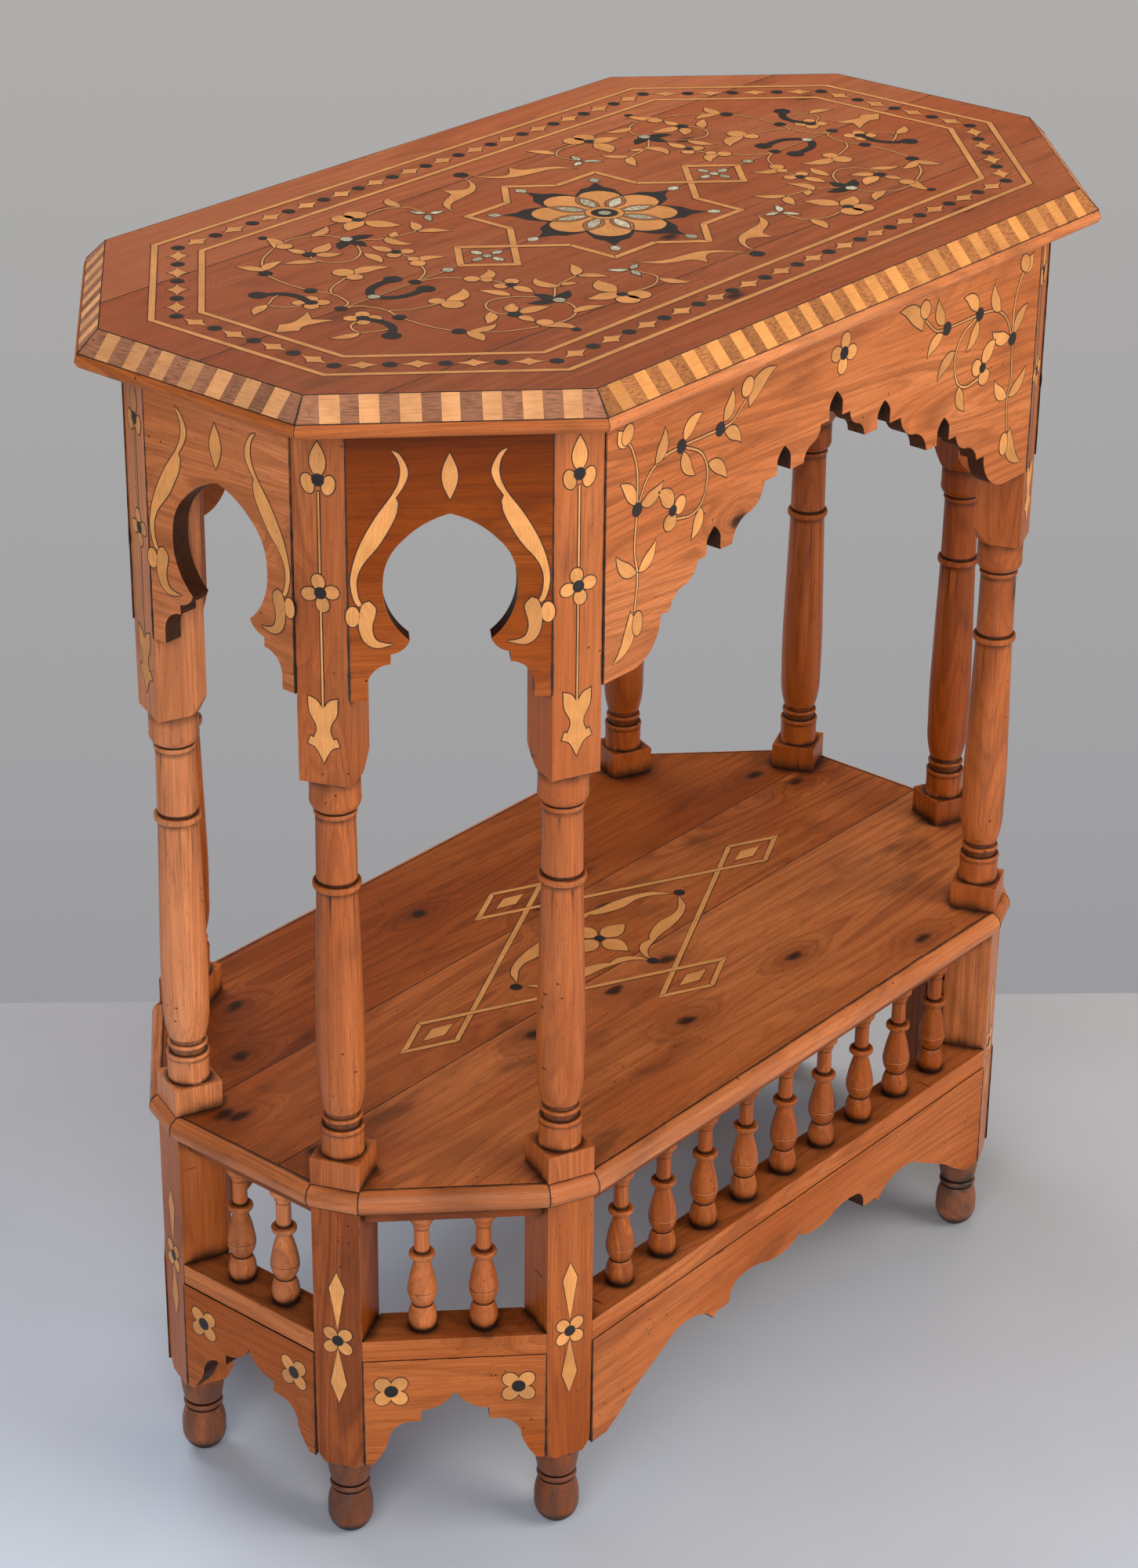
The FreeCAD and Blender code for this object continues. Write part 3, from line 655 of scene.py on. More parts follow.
def painted_floor(name, near, far):
    """Floor paint, rolled: matt, with a faint mottle, and greyer towards the wall, which is painted shade."""
    material, tree, shader = new_material(name)
    place = add(tree, "TexCoord", out="Object")
    away = add(tree, "VectorMath", (place, -outward(WALL_TURN)), out="Value", operation="DOT_PRODUCT")
    # Painted shade: the floor grows greyer towards the wall
    share = add(tree, "MapRange", (away, *FLOOR_SHADE_FADE), interpolation_type="SMOOTHSTEP")
    base = add(tree, "Mix", {0: share, 6: far, 7: near}, out=2, data_type="RGBA")
    mottle = add(tree, "TexNoise", {"Vector": place, "Scale": 1 / (FLOOR_MOTTLE * MM), "Detail": 4.0})
    value = add(tree, "MapRange", (mottle, *CLOUD, *FLOOR_VALUE))
    colour = add(tree, "HueSaturation", {"Color": base, "Value": value})
    tree.links.new(colour, shader.inputs["Base Color"])
    shader.inputs["Roughness"].default_value = FLOOR_ROUGH
    shader.inputs["Specular IOR Level"].default_value = FLOOR_GLOSS
    return material


def wall_glowing_with_painted_light(name, low, high):
    """Wall that glows with painted light of its own, a little lighter above; clear from behind, so it never
    hides the table.
    """
    material, tree, shader = new_material(name)
    place = add(tree, "NewGeometry", out="Position")
    height = add(tree, "SeparateXYZ", (place,), out="Z")
    share = add(tree, "MapRange", (height, 0.0, 1.0, 0.0, 1.0))
    colour = add(tree, "Mix", {0: share, 6: low, 7: high}, out=2, data_type="RGBA")
    # Painted light: the wall glows in place of taking the lamps' light, darker near the floor
    glow = add(tree, "Emission", {"Color": colour})
    clear = add(tree, "BsdfTransparent")
    mix = add(tree, "MixShader", (place.node.outputs["Backfacing"], glow, clear))
    tree.links.new(mix, tree.nodes["Material Output"].inputs["Surface"])
    tree.nodes.remove(shader)
    return material


# Each finish: the name of its material, the function that makes it, its colours and its settings.
# Woods: growth lines over the drift, share of knots, smoke, roughness and strength of the shine.
# Slips: size and length of a vein, roughness, and how strongly the veins show.
FRAME_COLOURS, TOP_COLOURS, SHELF_COLOURS = (
    (wood + "_early", wood + "_late", wood + "_heart", "wax", "soot") for wood in ("frame", "top", "shelf"))
FINISHES = {
    "waxed_frame": ("thuya_planed_waxed", waxed_wood, FRAME_COLOURS, (12.0, 0.27, 0.35, 0.42, 0.16)),
    "burnished_frame": ("thuya_turned_burnished", waxed_wood, FRAME_COLOURS, (12.0, 0.27, 0.45, 0.3, 0.28)),
    "waxed_top": ("thuya_boards_waxed", waxed_wood, TOP_COLOURS, (10.0, 0.25, 0.4, 0.4, 0.22)),
    "waxed_shelf": ("knotty_thuya_boards_waxed", waxed_wood, SHELF_COLOURS, (11.0, 0.48, 0.6, 0.38, 0.24)),
    "lemonwood": ("lemonwood_scraped", inlay_wood, ("lemonwood", "lemonwood_vein"), (0.9, 14.0, 0.42, 0.45)),
    "pearwood": ("pearwood_scraped", inlay_wood, ("pearwood", "pearwood_vein"), (0.9, 14.0, 0.42, 0.45)),
    "plumwood": ("plumwood_scraped", inlay_wood, ("plumwood", "plumwood_vein"), (0.8, 9.0, 0.45, 0.65)),
    "walnut": ("walnut_scraped", inlay_wood, ("walnut", "walnut_vein"), (0.8, 5.0, 0.45, 0.75)),
    "black": ("blackened_pearwood_scraped", inlay_wood, ("black", "black_vein"), (0.7, 14.0, 0.4, 0.5)),
    "shell": ("mother_of_pearl_polished", shell_inlay, ("shell", "shell_shade"), ()),
    "mastic": ("glue_and_wax_squeezed", mastic_line, ("wax", "dust"), ()),
}


def finish(key):
    """The material of a finish, made when it is first used."""
    name, make, colours, settings = FINISHES[key]
    if name in bpy.data.materials:
        return bpy.data.materials[name]
    group = bpy.context.scene.table_colours
    return make(name, *(getattr(group, colour) for colour in colours), *settings)


# Building

def shown(name, mesh, material, slot):
    """Put a mesh on the table as a piece that rides on it."""
    mesh.materials.clear()
    mesh.materials.append(finish(material))
    made = bpy.data.objects.new(name, mesh)
    bpy.context.scene.collection.objects.link(made)
    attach(made, "root")
    return made


def baked(name, made):
    """Mesh data of a finished bmesh, which is freed."""
    data = bpy.data.meshes.new(name)
    made.to_mesh(data)
    made.free()
    return data


def islands(mesh):
    """Connected groups of vertices, in the order of their first vertices."""
    reached = set()
    for first in mesh.verts:
        if first in reached:
            continue
        reached.add(first)
        group = [first]
        for vert in group:
            for link in vert.link_edges:
                other = link.other_vert(vert)
                if other not in reached:
                    reached.add(other)
                    group.append(other)
        yield group


# Turned rings, in millimetres: how level the facets of a ring lie, how alike the radii of their ends
# are, the thinnest ring, the longest facet once it is divided, the widest one before, and its cuts
RING_LEVEL, RING_EVEN, RING_THINNEST, RING_FACET = 0.01, 0.15, 1.0, 3.0
RING_WIDEST = math.radians(26)
RING_CUTS = 2


def rounded(mesh):
    """Divide the facets of turned surfaces, so that their outlines are round."""
    hub = mesh.verts.layers.float_vector.new("hub")
    for group in islands(mesh):
        xs, ys = [v.co.x for v in group], [v.co.y for v in group]
        middle = Vector(((min(xs) + max(xs)) / 2, (min(ys) + max(ys)) / 2))
        for vert in group:
            vert[hub] = (*middle, (vert.co.xy - middle).length)
    rings = []
    for edge in mesh.edges:
        a, b = edge.verts
        level = abs(a.co.z - b.co.z) < RING_LEVEL * MM
        even = abs(a[hub].z - b[hub].z) < RING_EVEN * MM and a[hub].z > RING_THINNEST * MM
        if level and even and (a.co.xy - a[hub].xy).angle(b.co.xy - b[hub].xy) < RING_WIDEST:
            rings.append(edge)
    made = bmesh.ops.subdivide_edges(mesh, edges=rings, cuts=RING_CUTS)
    for vert in made["geom_inner"]:
        if isinstance(vert, bmesh.types.BMVert):
            spoke = vert.co.xy - vert[hub].xy
            vert.co.xy = vert[hub].xy + spoke * (vert[hub].z / spoke.length)
    mesh.verts.layers.float_vector.remove(hub)


# Sticks that are plainly lighter or darker than the rest: 0 is dark and 1 is light. Some of these tones also
# paint light or shade, as marked below
TONES = {
    "top_board_1": 0.3, "top_board_2": 0.25, "top_board_3": 0.42, "top_board_4": 0.7,
    # top_edge_front is made light as a painted highlight along the lip of the top
    "top_edge_front": 1.4, "top_edge_front_left": 0.7,
    "upper_apron_front": 0.95, "upper_apron_front_left": -0.15, "upper_apron_left": 1.1,
    # column_left_back is made light as painted light, on a post face that the lamps leave in shade
    "column_front_left": 0.55, "column_left_front": 0.5, "column_left_back": 1.35,
    "column_back_left": 0.3, "column_back_right": 0.1, "column_right_back": 0.0,
    "column_right_front": 0.0, "column_front_right": 0.4,
    # The shelf boards grow darker from the front board to the back one: painted shade under the top
    "shelf_board_1": 0.65, "shelf_board_2": 0.3, "shelf_board_3": -0.1, "shelf_nosing": 1.0,
    "head_rails": -0.1, "lower_apron_front": 0.45, "lower_apron_front_left": 0.3, "lower_apron_left": 0.2,
    "lower_post_left_front": -0.25, "lower_post_front_left": 0.1, "lower_post_left_back": 0.5,
}
OTHER_TONES = (0.2, 0.8)
LONG_BALUSTER_TONES, SHORT_BALUSTER_TONES = (-0.3, 0.2), (0.5, 1.0)
# How much lighter these sticks grow over 100 mm, along the table and upwards
TONE_SLOPES = {"upper_apron_front_left": (0.0, -0.65),
               **{board: (0.08, 0.0) for board in TOP_BOARDS}}
SLOPE_LENGTH = 100.0
# Old dirt: 0 is clean and 1 is black with it
FOOT_STAIN = 0.7
STAINS = {"head_rails": 0.4, "shelf_nosing": 0.08}
RAIL_SAWN = 0.3         # rough upper faces of the rails, as a share of the sawn edges of the aprons
NOSING_LIP = 0.2        # depth of the dark wax along the upper edge of the nosing
SAME_PLACE = 0.002
# Wear on the arrises of some pieces, as a share of the wear on the frame
BOARD_ARRIS, POST_ARRIS, NOSING_ARRIS, BALUSTER_ARRIS = 0.5, 0.6, 0.4, 0.5
ARRIS_FACETS = 2
# How far a face of an apron may look outward and still be a sawn edge, and how level a rail's top is
EDGEWISE, LEVEL = 0.3, 0.9
FLAT = math.radians(0.5)
SHARP = math.radians(35)
HOLLOW = math.radians(-28)
FARTHEST = 9.0          # metres by which the grain of one stick is moved, so that no two are alike


def tone_of(node, turn, seed):
    """How light a stick is."""
    if node == "balusters":
        return seed.uniform(*(SHORT_BALUSTER_TONES if turn % (FULL_TURN / 2) else LONG_BALUSTER_TONES))
    return TONES.get(node, seed.uniform(*OTHER_TONES))


def stain_of(node, vert):
    """How dark old dirt has made a place."""
    if node.startswith("lower_post") and vert.co.z < POST_BOTTOM * MM:
        return FOOT_STAIN
    return STAINS.get(node, 0.0)


def worn_stick(node, turned, arris):
    """Mesh of a CAD node with worn arrises, and with dark wax in the hollows of turned work."""
    stick = bmesh.new()
    stick.from_mesh(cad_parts[node].data)
    bmesh.ops.remove_doubles(stick, verts=stick.verts, dist=SAME_PLACE * MM)
    stick.verts.index_update()
    if turned:
        rounded(stick)
    bmesh.ops.dissolve_limit(stick, angle_limit=FLAT, verts=stick.verts, edges=stick.edges)
    faces, points = stick.faces.layers.float, stick.verts.layers.float
    worn = faces.new("worn")
    faces.new("sawn")
    for key in ("tone", "groove", "stain"):
        points.new(key)
    groove = points["groove"]
    sharp = []
    for edge in stick.edges:
        if len(edge.link_faces) != 2:
            continue
        turn = edge.calc_face_angle_signed()
        if turn > SHARP:
            sharp.append(edge)
        if turned and turn < HOLLOW and edge.calc_length() < RING_FACET * MM:
            for vert in edge.verts:
                vert[groove] = 1.0
    made = bmesh.ops.bevel(stick, geom=sharp, offset=arris, segments=ARRIS_FACETS, profile=0.5,
                           affect="EDGES", clamp_overlap=True)
    for face in made["faces"]:
        face[worn] = 1.0
    stick.verts.index_update()
    return stick


def seasoned(stick, node, grain, seed):
    """Give the wood of a node its grain, its tone, its dirt and its sawn faces."""
    faces, points = stick.faces.layers.float, stick.verts.layers.float
    sawn, tone, groove, stain = faces["sawn"], points["tone"], points["groove"], points["stain"]
    place = stick.verts.layers.float_vector.new("grain")
    lengthwise, upwards = TONE_SLOPES.get(node, (0.0, 0.0))
    for group in islands(stick):
        middle = sum((v.co for v in group), Vector()) / len(group) / MM
        turn = 0.0 if grain == "board" else turn_at(middle)
        out = outward(turn)
        along = left_of(out)
        axes = {"upright": (UP, along, out), "side": (along, UP, out), "board": (along, out, UP)}[grain]
        offset = Vector([seed.uniform(-FARTHEST, FARTHEST) for axis in axes])
        shade = tone_of(node, turn, seed)
        for vert in group:
            away = vert.co / MM - middle
            vert[place] = Vector([axis.dot(vert.co) for axis in axes]) + offset
            vert[tone] = shade + (away.x * lengthwise + away.z * upwards) / SLOPE_LENGTH
            vert[stain] = stain_of(node, vert)
            if node == "shelf_nosing" and vert.co.z > (SHELF - NOSING_LIP) * MM:
                vert[groove] = 1.0
            for face in vert.link_faces:
                if "apron" in node and abs(face.normal.dot(out)) < EDGEWISE:
                    face[sawn] = 1.0
                elif "rail" in node and face.normal.z > LEVEL:
                    face[sawn] = RAIL_SAWN


def softened(name, nodes, grain, slot, material="waxed_frame", arris_share=1.0):
    """One piece that stands for CAD nodes, with worn edges and wood that follows each stick.

    grain is "board" for lengthwise, "side" for along the side that it lies on, or "upright".
    """
    arris = bpy.context.scene.table_sizes.arris * arris_share
    seed = random.Random(name)
    joined = bmesh.new()
    for node in nodes:
        stick = worn_stick(node, grain == "upright", arris)
        seasoned(stick, node, grain, seed)
        part = baked(node + "_part", stick)
        joined.from_mesh(part)
        bpy.data.meshes.remove(part)
    whole = baked(name, joined)
    whole.shade_smooth()
    whole.set_sharp_from_angle(angle=SHARP)
    made = shown(name, whole, material, slot)
    made.modifiers.new("even faces", "WEIGHTED_NORMAL").keep_sharp = True
    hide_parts(*nodes)
    return made


INLAY_SLOTS = {"lemonwood": "light_inlay", "pearwood": "light_inlay", "walnut": "dark_inlay",
               "plumwood": "dark_inlay", "black": "black_inlay", "shell": "pearl_inlay",
               "mastic": "dark_inlay"}
LAYER_STEP = 0.02       # each layer of inlay lies this much above the one under it
TOP_DULL = 0.8          # how much the wax has dulled the inlay that lies flat
SHARPEST = 0.5          # keeps the glue line short at the sharp tips of the inlay


def grown(outline, width):
    """The same outline, moved out all round."""
    area = sum(a.x * b.y - b.x * a.y for a, b in neighbours(outline))
    way = -width if area > 0 else width
    sides = [left_of(b - a).normalized() for a, b in neighbours(outline)]
    return [point + (a + b) * (way / max(1 + a.dot(b), SHARPEST))
            for point, a, b in zip(outline, sides[-1:] + sides, sides)]


def lay(name, beds, dull=0.0):
    """Lay inlay on its beds: one piece for each wood, and one for the glue lines under it all."""
    sizes = bpy.context.scene.table_sizes
    rise, mastic = sizes.inlay_rise / MM, sizes.mastic / MM
    seed = random.Random(name)
    meshes = {}

    def put(wood, outline, along, matrix, height):
        if wood not in meshes:
            mesh = bmesh.new()
            mesh.verts.layers.float_vector.new("grain")
            mesh.verts.layers.float.new("tone")
            meshes[wood] = mesh
        mesh = meshes[wood]
        place, tone = mesh.verts.layers.float_vector["grain"], mesh.verts.layers.float["tone"]
        offset = Vector((seed.uniform(-FARTHEST, FARTHEST), seed.uniform(-FARTHEST, FARTHEST), 0))
        shade = seed.random() - dull
        verts = []
        for point in outline:
            vert = mesh.verts.new(matrix @ Vector((point.x, point.y, height)))
            vert[place] = Vector((point.dot(along), along.cross(point), 0)) * MM + offset
            vert[tone] = shade
            verts.append(vert)
        face = mesh.faces.new(verts)
        face.normal_update()
        if face.normal.dot(matrix.col[2].to_3d()) < 0:
            face.normal_flip()

    for matrix, pieces in beds:
        for p in pieces:
            put(p.wood, p.outline, p.along, matrix, rise + LAYER_STEP * (2 * p.layer + 1))
            if p.wood != "mastic":
                put("mastic", grown(p.outline, mastic), p.along, matrix, rise + LAYER_STEP * 2 * p.layer)
    for wood, mesh in meshes.items():
        bmesh.ops.triangulate(mesh, faces=mesh.faces, ngon_method="EAR_CLIP")
        label = name + "_" + wood
        shown(label, baked(label, mesh), wood, INLAY_SLOTS[wood])


# Drawings of the inlay, in millimetres

# One quarter of the vines on the top, from its middle out. A leaf is base, tip, width and bend.
VINE_LEAVES = (
    ((201, 73), (206, 89), 7.5, 0.1), ((200, 73.5), (182, 77), 6.5, -0.12), ((239, 33), (255, 27), 6.5, 0.1),
    ((170, 62), (185, 73), 6.5, 0.08), ((143, 53), (148, 35), 7, -0.08), ((162, 72), (151, 62), 7.5, 0.1),
    ((161, 75.5), (142, 80), 8.5, 0.1), ((164.5, 77), (166, 89), 6.5, 0.05), ((95, 57), (82, 43), 6.5, -0.12),
    ((94.5, 59), (84.5, 72), 6.5, 0.12), ((68, 94), (61, 111), 7, -0.12), ((141, 95), (122, 101), 6.5, 0.12),
    ((130, 44), (131, 59), 7.5, 0.0), ((173, 33), (151, 26.5), 9, -0.18), ((169, 96), (160, 114), 7.5, 0.22),
    ((135, 22), (118, 15), 7, -0.22), ((113.5, 63), (112.5, 44), 7.5, 0.24),
    ((112, 62), (103.5, 66.5), 5, 0.1), ((101, 91.5), (120, 86.5), 10.5, 0.12),
    ((100.5, 91), (92.5, 71.5), 12, 0.1),
)
VINE_LOBES = (((174, 39.5), 6), ((175.5, 29.5), 4.6), ((163, 94), 4.6), ((136, 19.5), 4.4),
              ((132, 26.5), 3.4), ((134.4, 38.8), 4), ((124.6, 38), 4), ((106, 103.5), 6.6),
              ((96.5, 103), 6.8))
VINE_DARK_LEAVES = (((131.5, 74), (146, 68), 6.5, 0.1), ((131.5, 73), (132.5, 61), 6.5, 0.0),
                    ((131.5, 74), (116.5, 71), 6.5, -0.1))
VINE_SHELL_LEAVES = (((68, 72.5), (76, 63.5), 4.2, 0.1), ((66.5, 73), (57.5, 70.5), 4, 0.0),
                     ((68, 75), (72, 84.5), 4.2, 0.0))
VINE_DOTS = (((207.4, 32), 3.3), ((203, 69.6), 3.5), ((164, 74), 3.5), ((129.6, 41.6), 2.7), ((102, 96), 2.8),
             ((160.5, 113), 2.2))
VINE_STEMS = (
    ((217.6, 1), (209, 3), (204.5, 13), (204, 21), (207.4, 32)),
    ((207.4, 33), (207.6, 50), (205.6, 62), (203, 70)), ((204, 20), (196, 27), (178, 33)),
    ((199, 76), (186, 88), (170, 96)), ((163, 97), (154, 100), (142, 97), (133, 88), (131.4, 78)),
    ((132.5, 69), (143, 55.5), (156, 50), (166, 56), (168.4, 67), (164, 74)), ((131, 28), (129.6, 40)),
    ((135, 20), (143, 8), (152, 2.5), (160, 0)), ((129, 72), (118, 63), (110, 60), (95, 58)),
    ((67, 76), (66, 90), (74, 97), (84, 99), (100, 96)), ((221, 18), (233, 21.5), (237.5, 27), (238.5, 32)),
    ((239, 33), (229, 38.5), (222, 40)),
)
VINE_HORNS = (((191, 4), (184, 10), (174, 12), (165, 11)),
              ((220.5, 22), (218.5, 31), (221.5, 40), (231, 47.5)))
HORN_WIDTH = 3.9
HORN_TIPS = (((164.5, 12), 4.8), ((231, 48), 4.8))
VINE_FLOWER = ((221, 18.5), 5.6, 4.0, SIDE_TURN)
VINE_PEARL = ((131.4, 77), 3.4)
# On the long axis: places of dots, pearls and the ends of a thin stem, and half of a fishtail
AXIS_DOTS = (217.6, 160.0)
AXIS_PEARLS = (192.4, 133.4)
AXIS_STEM = ((214.0, 0), (125.0, 0))
AXIS_STEM_SHARE = 0.7
DOT_RADIUS = 3.2
FISHTAIL = (((267, 0), (262, 3.2)), ((257, 7), (251, 4.2), (242, 6.2)), ((233, 9.5), (237, 4)), ((240, 0),))
# The border: how far its strings and the row between them lie in from the edge of the boards, half
# sizes of a lozenge and radius of a dot
STRING_INSETS, ROW_INSET = (27.0, 53.0), 40.0
BORDER_LOZENGE = (9.2, 5.7)
BORDER_DOT = 3.4

# The rosette, its straps and the scrolls on the short axis
ROSETTE_POINTS = 8
PETAL = ((0, 9), (6.5, 14), (11.6, 24), (12.2, 31), (8.6, 38), (0, 41.5))
PETAL_WALNUT = ((0, 8), (0, 34), 11, 0, 1.0)
PETAL_SHELL = ((0, 11), (0, 30), 6.6, 0, 1.0)
STAR_POINT = ((9.5, 44.5), (3.5, 49.5), (0, 57.5), (-3.5, 49.5), (-9.5, 44.5))
STAR_VALLEY = (0, 35.0)
PEARL_DROP, PEARL_DROP_SIZE = (0, 62.5), (2.9, 3.8)
ROSETTE_EYE = (("lemonwood", 11.0), ("black", 7.4), ("shell", 3.6))
STRAP_QUARTER = ((0, 75), (22, 54), (56.5, 54), (56.5, 22), (101, -22), (123, 0))
LOOP_MIDDLE = (101.0, 0)
LOOP_PEARL_REACH, LOOP_PEARL_SIZE, LOOP_EYE = 8.0, (2.3, 3.6), 2.6
SCROLL = (((3.2, 104.5), (8, 95), (16, 88.8), (22.5, 90.5)),
          ((29.5, 97), (31.5, 88.5), (41.5, 83.5), (50, 77.5)),
          ((55.5, 64.5), (51.5, 71), (43, 77), (30, 79.6), (18, 82.5), (9.5, 89), (5, 97)))
SCROLL_DOT_REACH, SCROLL_DOT = 108.5, 4.0


def vine_quarter(stem):
    """Stems, leaves, horns and flowers in one quarter of the top."""
    pieces = [piece("lemonwood", ribbon(line, stem)) for line in VINE_STEMS]
    pieces += [piece("lemonwood", leaf(*shape), 1) for shape in VINE_LEAVES]
    pieces += [piece("lemonwood", disc(*shape), 2) for shape in VINE_LOBES]
    pieces += [piece("black", leaf(*shape), 1 + n) for n, shape in enumerate(VINE_DARK_LEAVES)]
    pieces += [piece("shell", leaf(*shape), 1 + n) for n, shape in enumerate(VINE_SHELL_LEAVES)]
    pieces += [piece("black", ribbon(line, HORN_WIDTH), 1) for line in VINE_HORNS]
    pieces += [piece("black", disc(*shape), 2) for shape in HORN_TIPS]
    pieces += flower(*VINE_FLOWER)
    pieces += [piece("black", disc(*shape), 3) for shape in VINE_DOTS]
    return pieces + [piece("shell", disc(*VINE_PEARL), 4)]


def vine_axis(stem):
    """What lies on the long axis, in the right half."""
    pieces = [piece("lemonwood", ribbon(AXIS_STEM, stem * AXIS_STEM_SHARE))]
    pieces.append(piece("lemonwood", drawn_twice(FISHTAIL, 1, -1)))
    pieces += [piece("black", disc((x, 0), DOT_RADIUS), 2) for x in AXIS_DOTS]
    pieces += [piece("shell", disc((x, 0), DOT_RADIUS), 2) for x in AXIS_PEARLS]
    for n in range(PETAL_COUNT):
        turn = FULL_TURN / PETAL_COUNT * n
        middle = Vector(LOOP_MIDDLE) + heading(turn) * LOOP_PEARL_REACH
        pieces.append(piece("shell", disc(middle, *LOOP_PEARL_SIZE, turn)))
    return pieces + [piece("shell", disc(LOOP_MIDDLE, LOOP_EYE))]


def rosette():
    """Eight petals on a black star, with a pearl drop at each of its points."""
    pieces = []
    star = []
    step = FULL_TURN / ROSETTE_POINTS
    petal = curve([*PETAL, *((-x, y) for x, y in PETAL[-2::-1])])[:-1]
    for n in range(ROSETTE_POINTS):
        spin = Matrix.Rotation(math.radians(step * n), 2)
        half = Matrix.Rotation(math.radians(step * (n + 0.5)), 2)
        star += [spin @ Vector(p) for p in STAR_POINT] + [half @ Vector(STAR_VALLEY)]
        pieces.append(piece("lemonwood", [spin @ p for p in petal], 1))
        pieces.append(piece("walnut", [half @ p for p in leaf(*PETAL_WALNUT)], 3))
        pieces.append(piece("shell", [half @ p for p in leaf(*PETAL_SHELL)], 4))
        drop = spin @ Vector(PEARL_DROP)
        pieces.append(piece("shell", disc(drop, *PEARL_DROP_SIZE, FULL_TURN / 4 + step * n)))
    pieces.append(piece("black", star))
    for n, (wood, radius) in enumerate(ROSETTE_EYE):
        pieces.append(piece(wood, disc((0, 0), radius), 5 + n))
    return pieces


def strapwork(width):
    """One endless strap round the rosette, with a loop at each end."""
    right = list(STRAP_QUARTER) + [(x, -y) for x, y in STRAP_QUARTER[-2::-1]]
    left = [(-x, y) for x, y in right[-2:0:-1]]
    return [piece("lemonwood", edge, n % 2) for n, edge in enumerate(band(right + left, width))]


def border(string, spacing):
    """Two strings round the top with lozenges and dots between them."""
    pieces = []
    for inset in STRING_INSETS:
        pieces += [piece("lemonwood", edge) for edge in band(octagon(BOARD_EDGE - inset), string)]
    for a, b in neighbours(octagon(BOARD_EDGE - ROW_INSET)):
        count = round((b - a).length / spacing)
        step = (b - a) / count
        for n in range(count):
            pieces.append(piece("lemonwood", star_lozenge(a + step * (n + 0.5), step, *BORDER_LOZENGE)))
            pieces.append(piece("black", disc(a + step * n, BORDER_DOT)))
    return pieces


# Half of the spray on a long upper apron: x from its middle, height below the top of the apron
SPRAY_LEAVES = (
    ((178, 118.5), (192, 144), 9, 0.2), ((173.5, 97.5), (190.5, 83.5), 7.5, 0.12),
    ((172, 97.5), (158, 84), 7.5, -0.12),
    ((176, 59), (188, 44), 7.5, -0.1), ((171, 60), (152.5, 52.5), 8, -0.12),
    ((159.5, 41), (152, 23), 8, -0.14), ((135.5, 35.5), (121, 23.5), 8, 0.14),
    ((136, 41), (126, 57), 7.5, -0.12), ((114.5, 54), (98, 67), 7.5, 0.1),
    ((120.5, 77), (127.5, 93.5), 8, 0.1), ((144.5, 70), (157, 57.5), 9.5, -0.1),
    ((102, 34), (95, 18), 8, -0.12), ((101, 40), (86.5, 50), 7.5, 0.12),
    ((80, 32), (57, 15.5), 10, 0.16), ((184, 24.5), (190.5, 14), 8, 0.0),
)
SPRAY_LOBES = (((172, 127), 4.2, 7.0, 90), ((138, 70.2), 4.6, 5.2, 60), ((146, 77.8), 4.8, 5.4, 0),
               ((82, 20.2), 4.8, 5.6, 60), ((182.8, 18), 4.4, 5.8, 60))
SPRAY_DOTS = (((174, 62), 3.5), ((137.8, 37.6), 3.5), ((105, 37.5), 3.5), ((144, 71.8), 2.7))
SPRAY_STEMS = (
    ((174.5, 119.5), (172.6, 100), (175.5, 84), (174, 62)), ((174, 62), (174.3, 42), (178.5, 28), (184, 21)),
    ((174, 62), (166, 47), (154, 39.5), (138, 37.5)), ((138, 37.5), (105, 37.5)),
    ((136, 38.5), (121, 46), (115, 58), (118, 73), (127.5, 79), (141, 77.5)),
    ((105, 37.5), (94, 36), (83, 27)),
)
SPRAY_FLOWER = ((5.0, 25.0), 7.0, 4.3, 9.0)

# Half of the ornament on a short upper apron, in the same way
ARCH_LEAF = (((29.3, 14.3), (25, 17.1), (21.1, 25.7), (22.9, 32.9)), ((27.4, 40),),
             ((26.2, 43), (28, 51), (35.7, 65), (44, 75.3), (47.6, 83.6), (47.4, 93)),
             ((44.7, 100), (48.6, 97.6), (51, 88), (50, 78), (45.7, 65), (37.9, 50.7), (28.6, 37.5),
              (25.2, 28.6), (25.7, 20.7)))
ARCH_BELL = (((41.6, 96.6), (38.4, 100.4), (38.7, 104.6), (40, 109.5), (40, 114.3), (38.4, 118.2), (35, 120)),
             ((29.2, 121), (36.5, 122.8), (41, 122), (44.7, 118.6), (46.7, 113.6), (47.2, 107.9),
              (46.4, 102), (44.8, 98)))
ARCH_BUD = ((50.2, 105), 3.6, 5.7, 90)
ARCH_OVAL = ((0, 16.5), (0, 41.5), 8.2, 0, 1.0)

# On a post, heights below the top of its block
POST_BUD = ((0, 31.5), (0, 11), 8.8, 0, 0.9)
POST_PETALS = (((-5.6, 34.2), 3.5, 5.5, 75), ((5.6, 34.2), 3.5, 5.5, 105))
POST_EYE = ((0, 31.8), 3.0)
POST_STRINGS = ((38, 83), (104, 160))
POST_STRING_WIDTH = 1.0
POST_FLOWER = ((0, 94.0), 6.3, 3.7, 80.0)
POST_FISHTAIL = (((0, 160), (3.4, 155)), ((8.2, 153), (7.6, 162), (4.4, 168.5), (3.9, 172.5)), ((5.6, 177),),
                 ((7.3, 176),), ((8.8, 180.4), (4.6, 182.5), (1.6, 187.5)), ((0, 191),))

# On a lower post and apron, heights from the top of the rail
LOWER_FLOWER = ((0, -2.0), 6.3, 3.9, SIDE_TURN)
LOWER_KITES = (((0, 44.5), (4.7, 33.5), (0, 5.5)), ((0, -7), (4.9, -31.5), (0, -45)))
APRON_FLOWER = ((36.6, -34.4), 6.6, 4.5, SIDE_TURN)

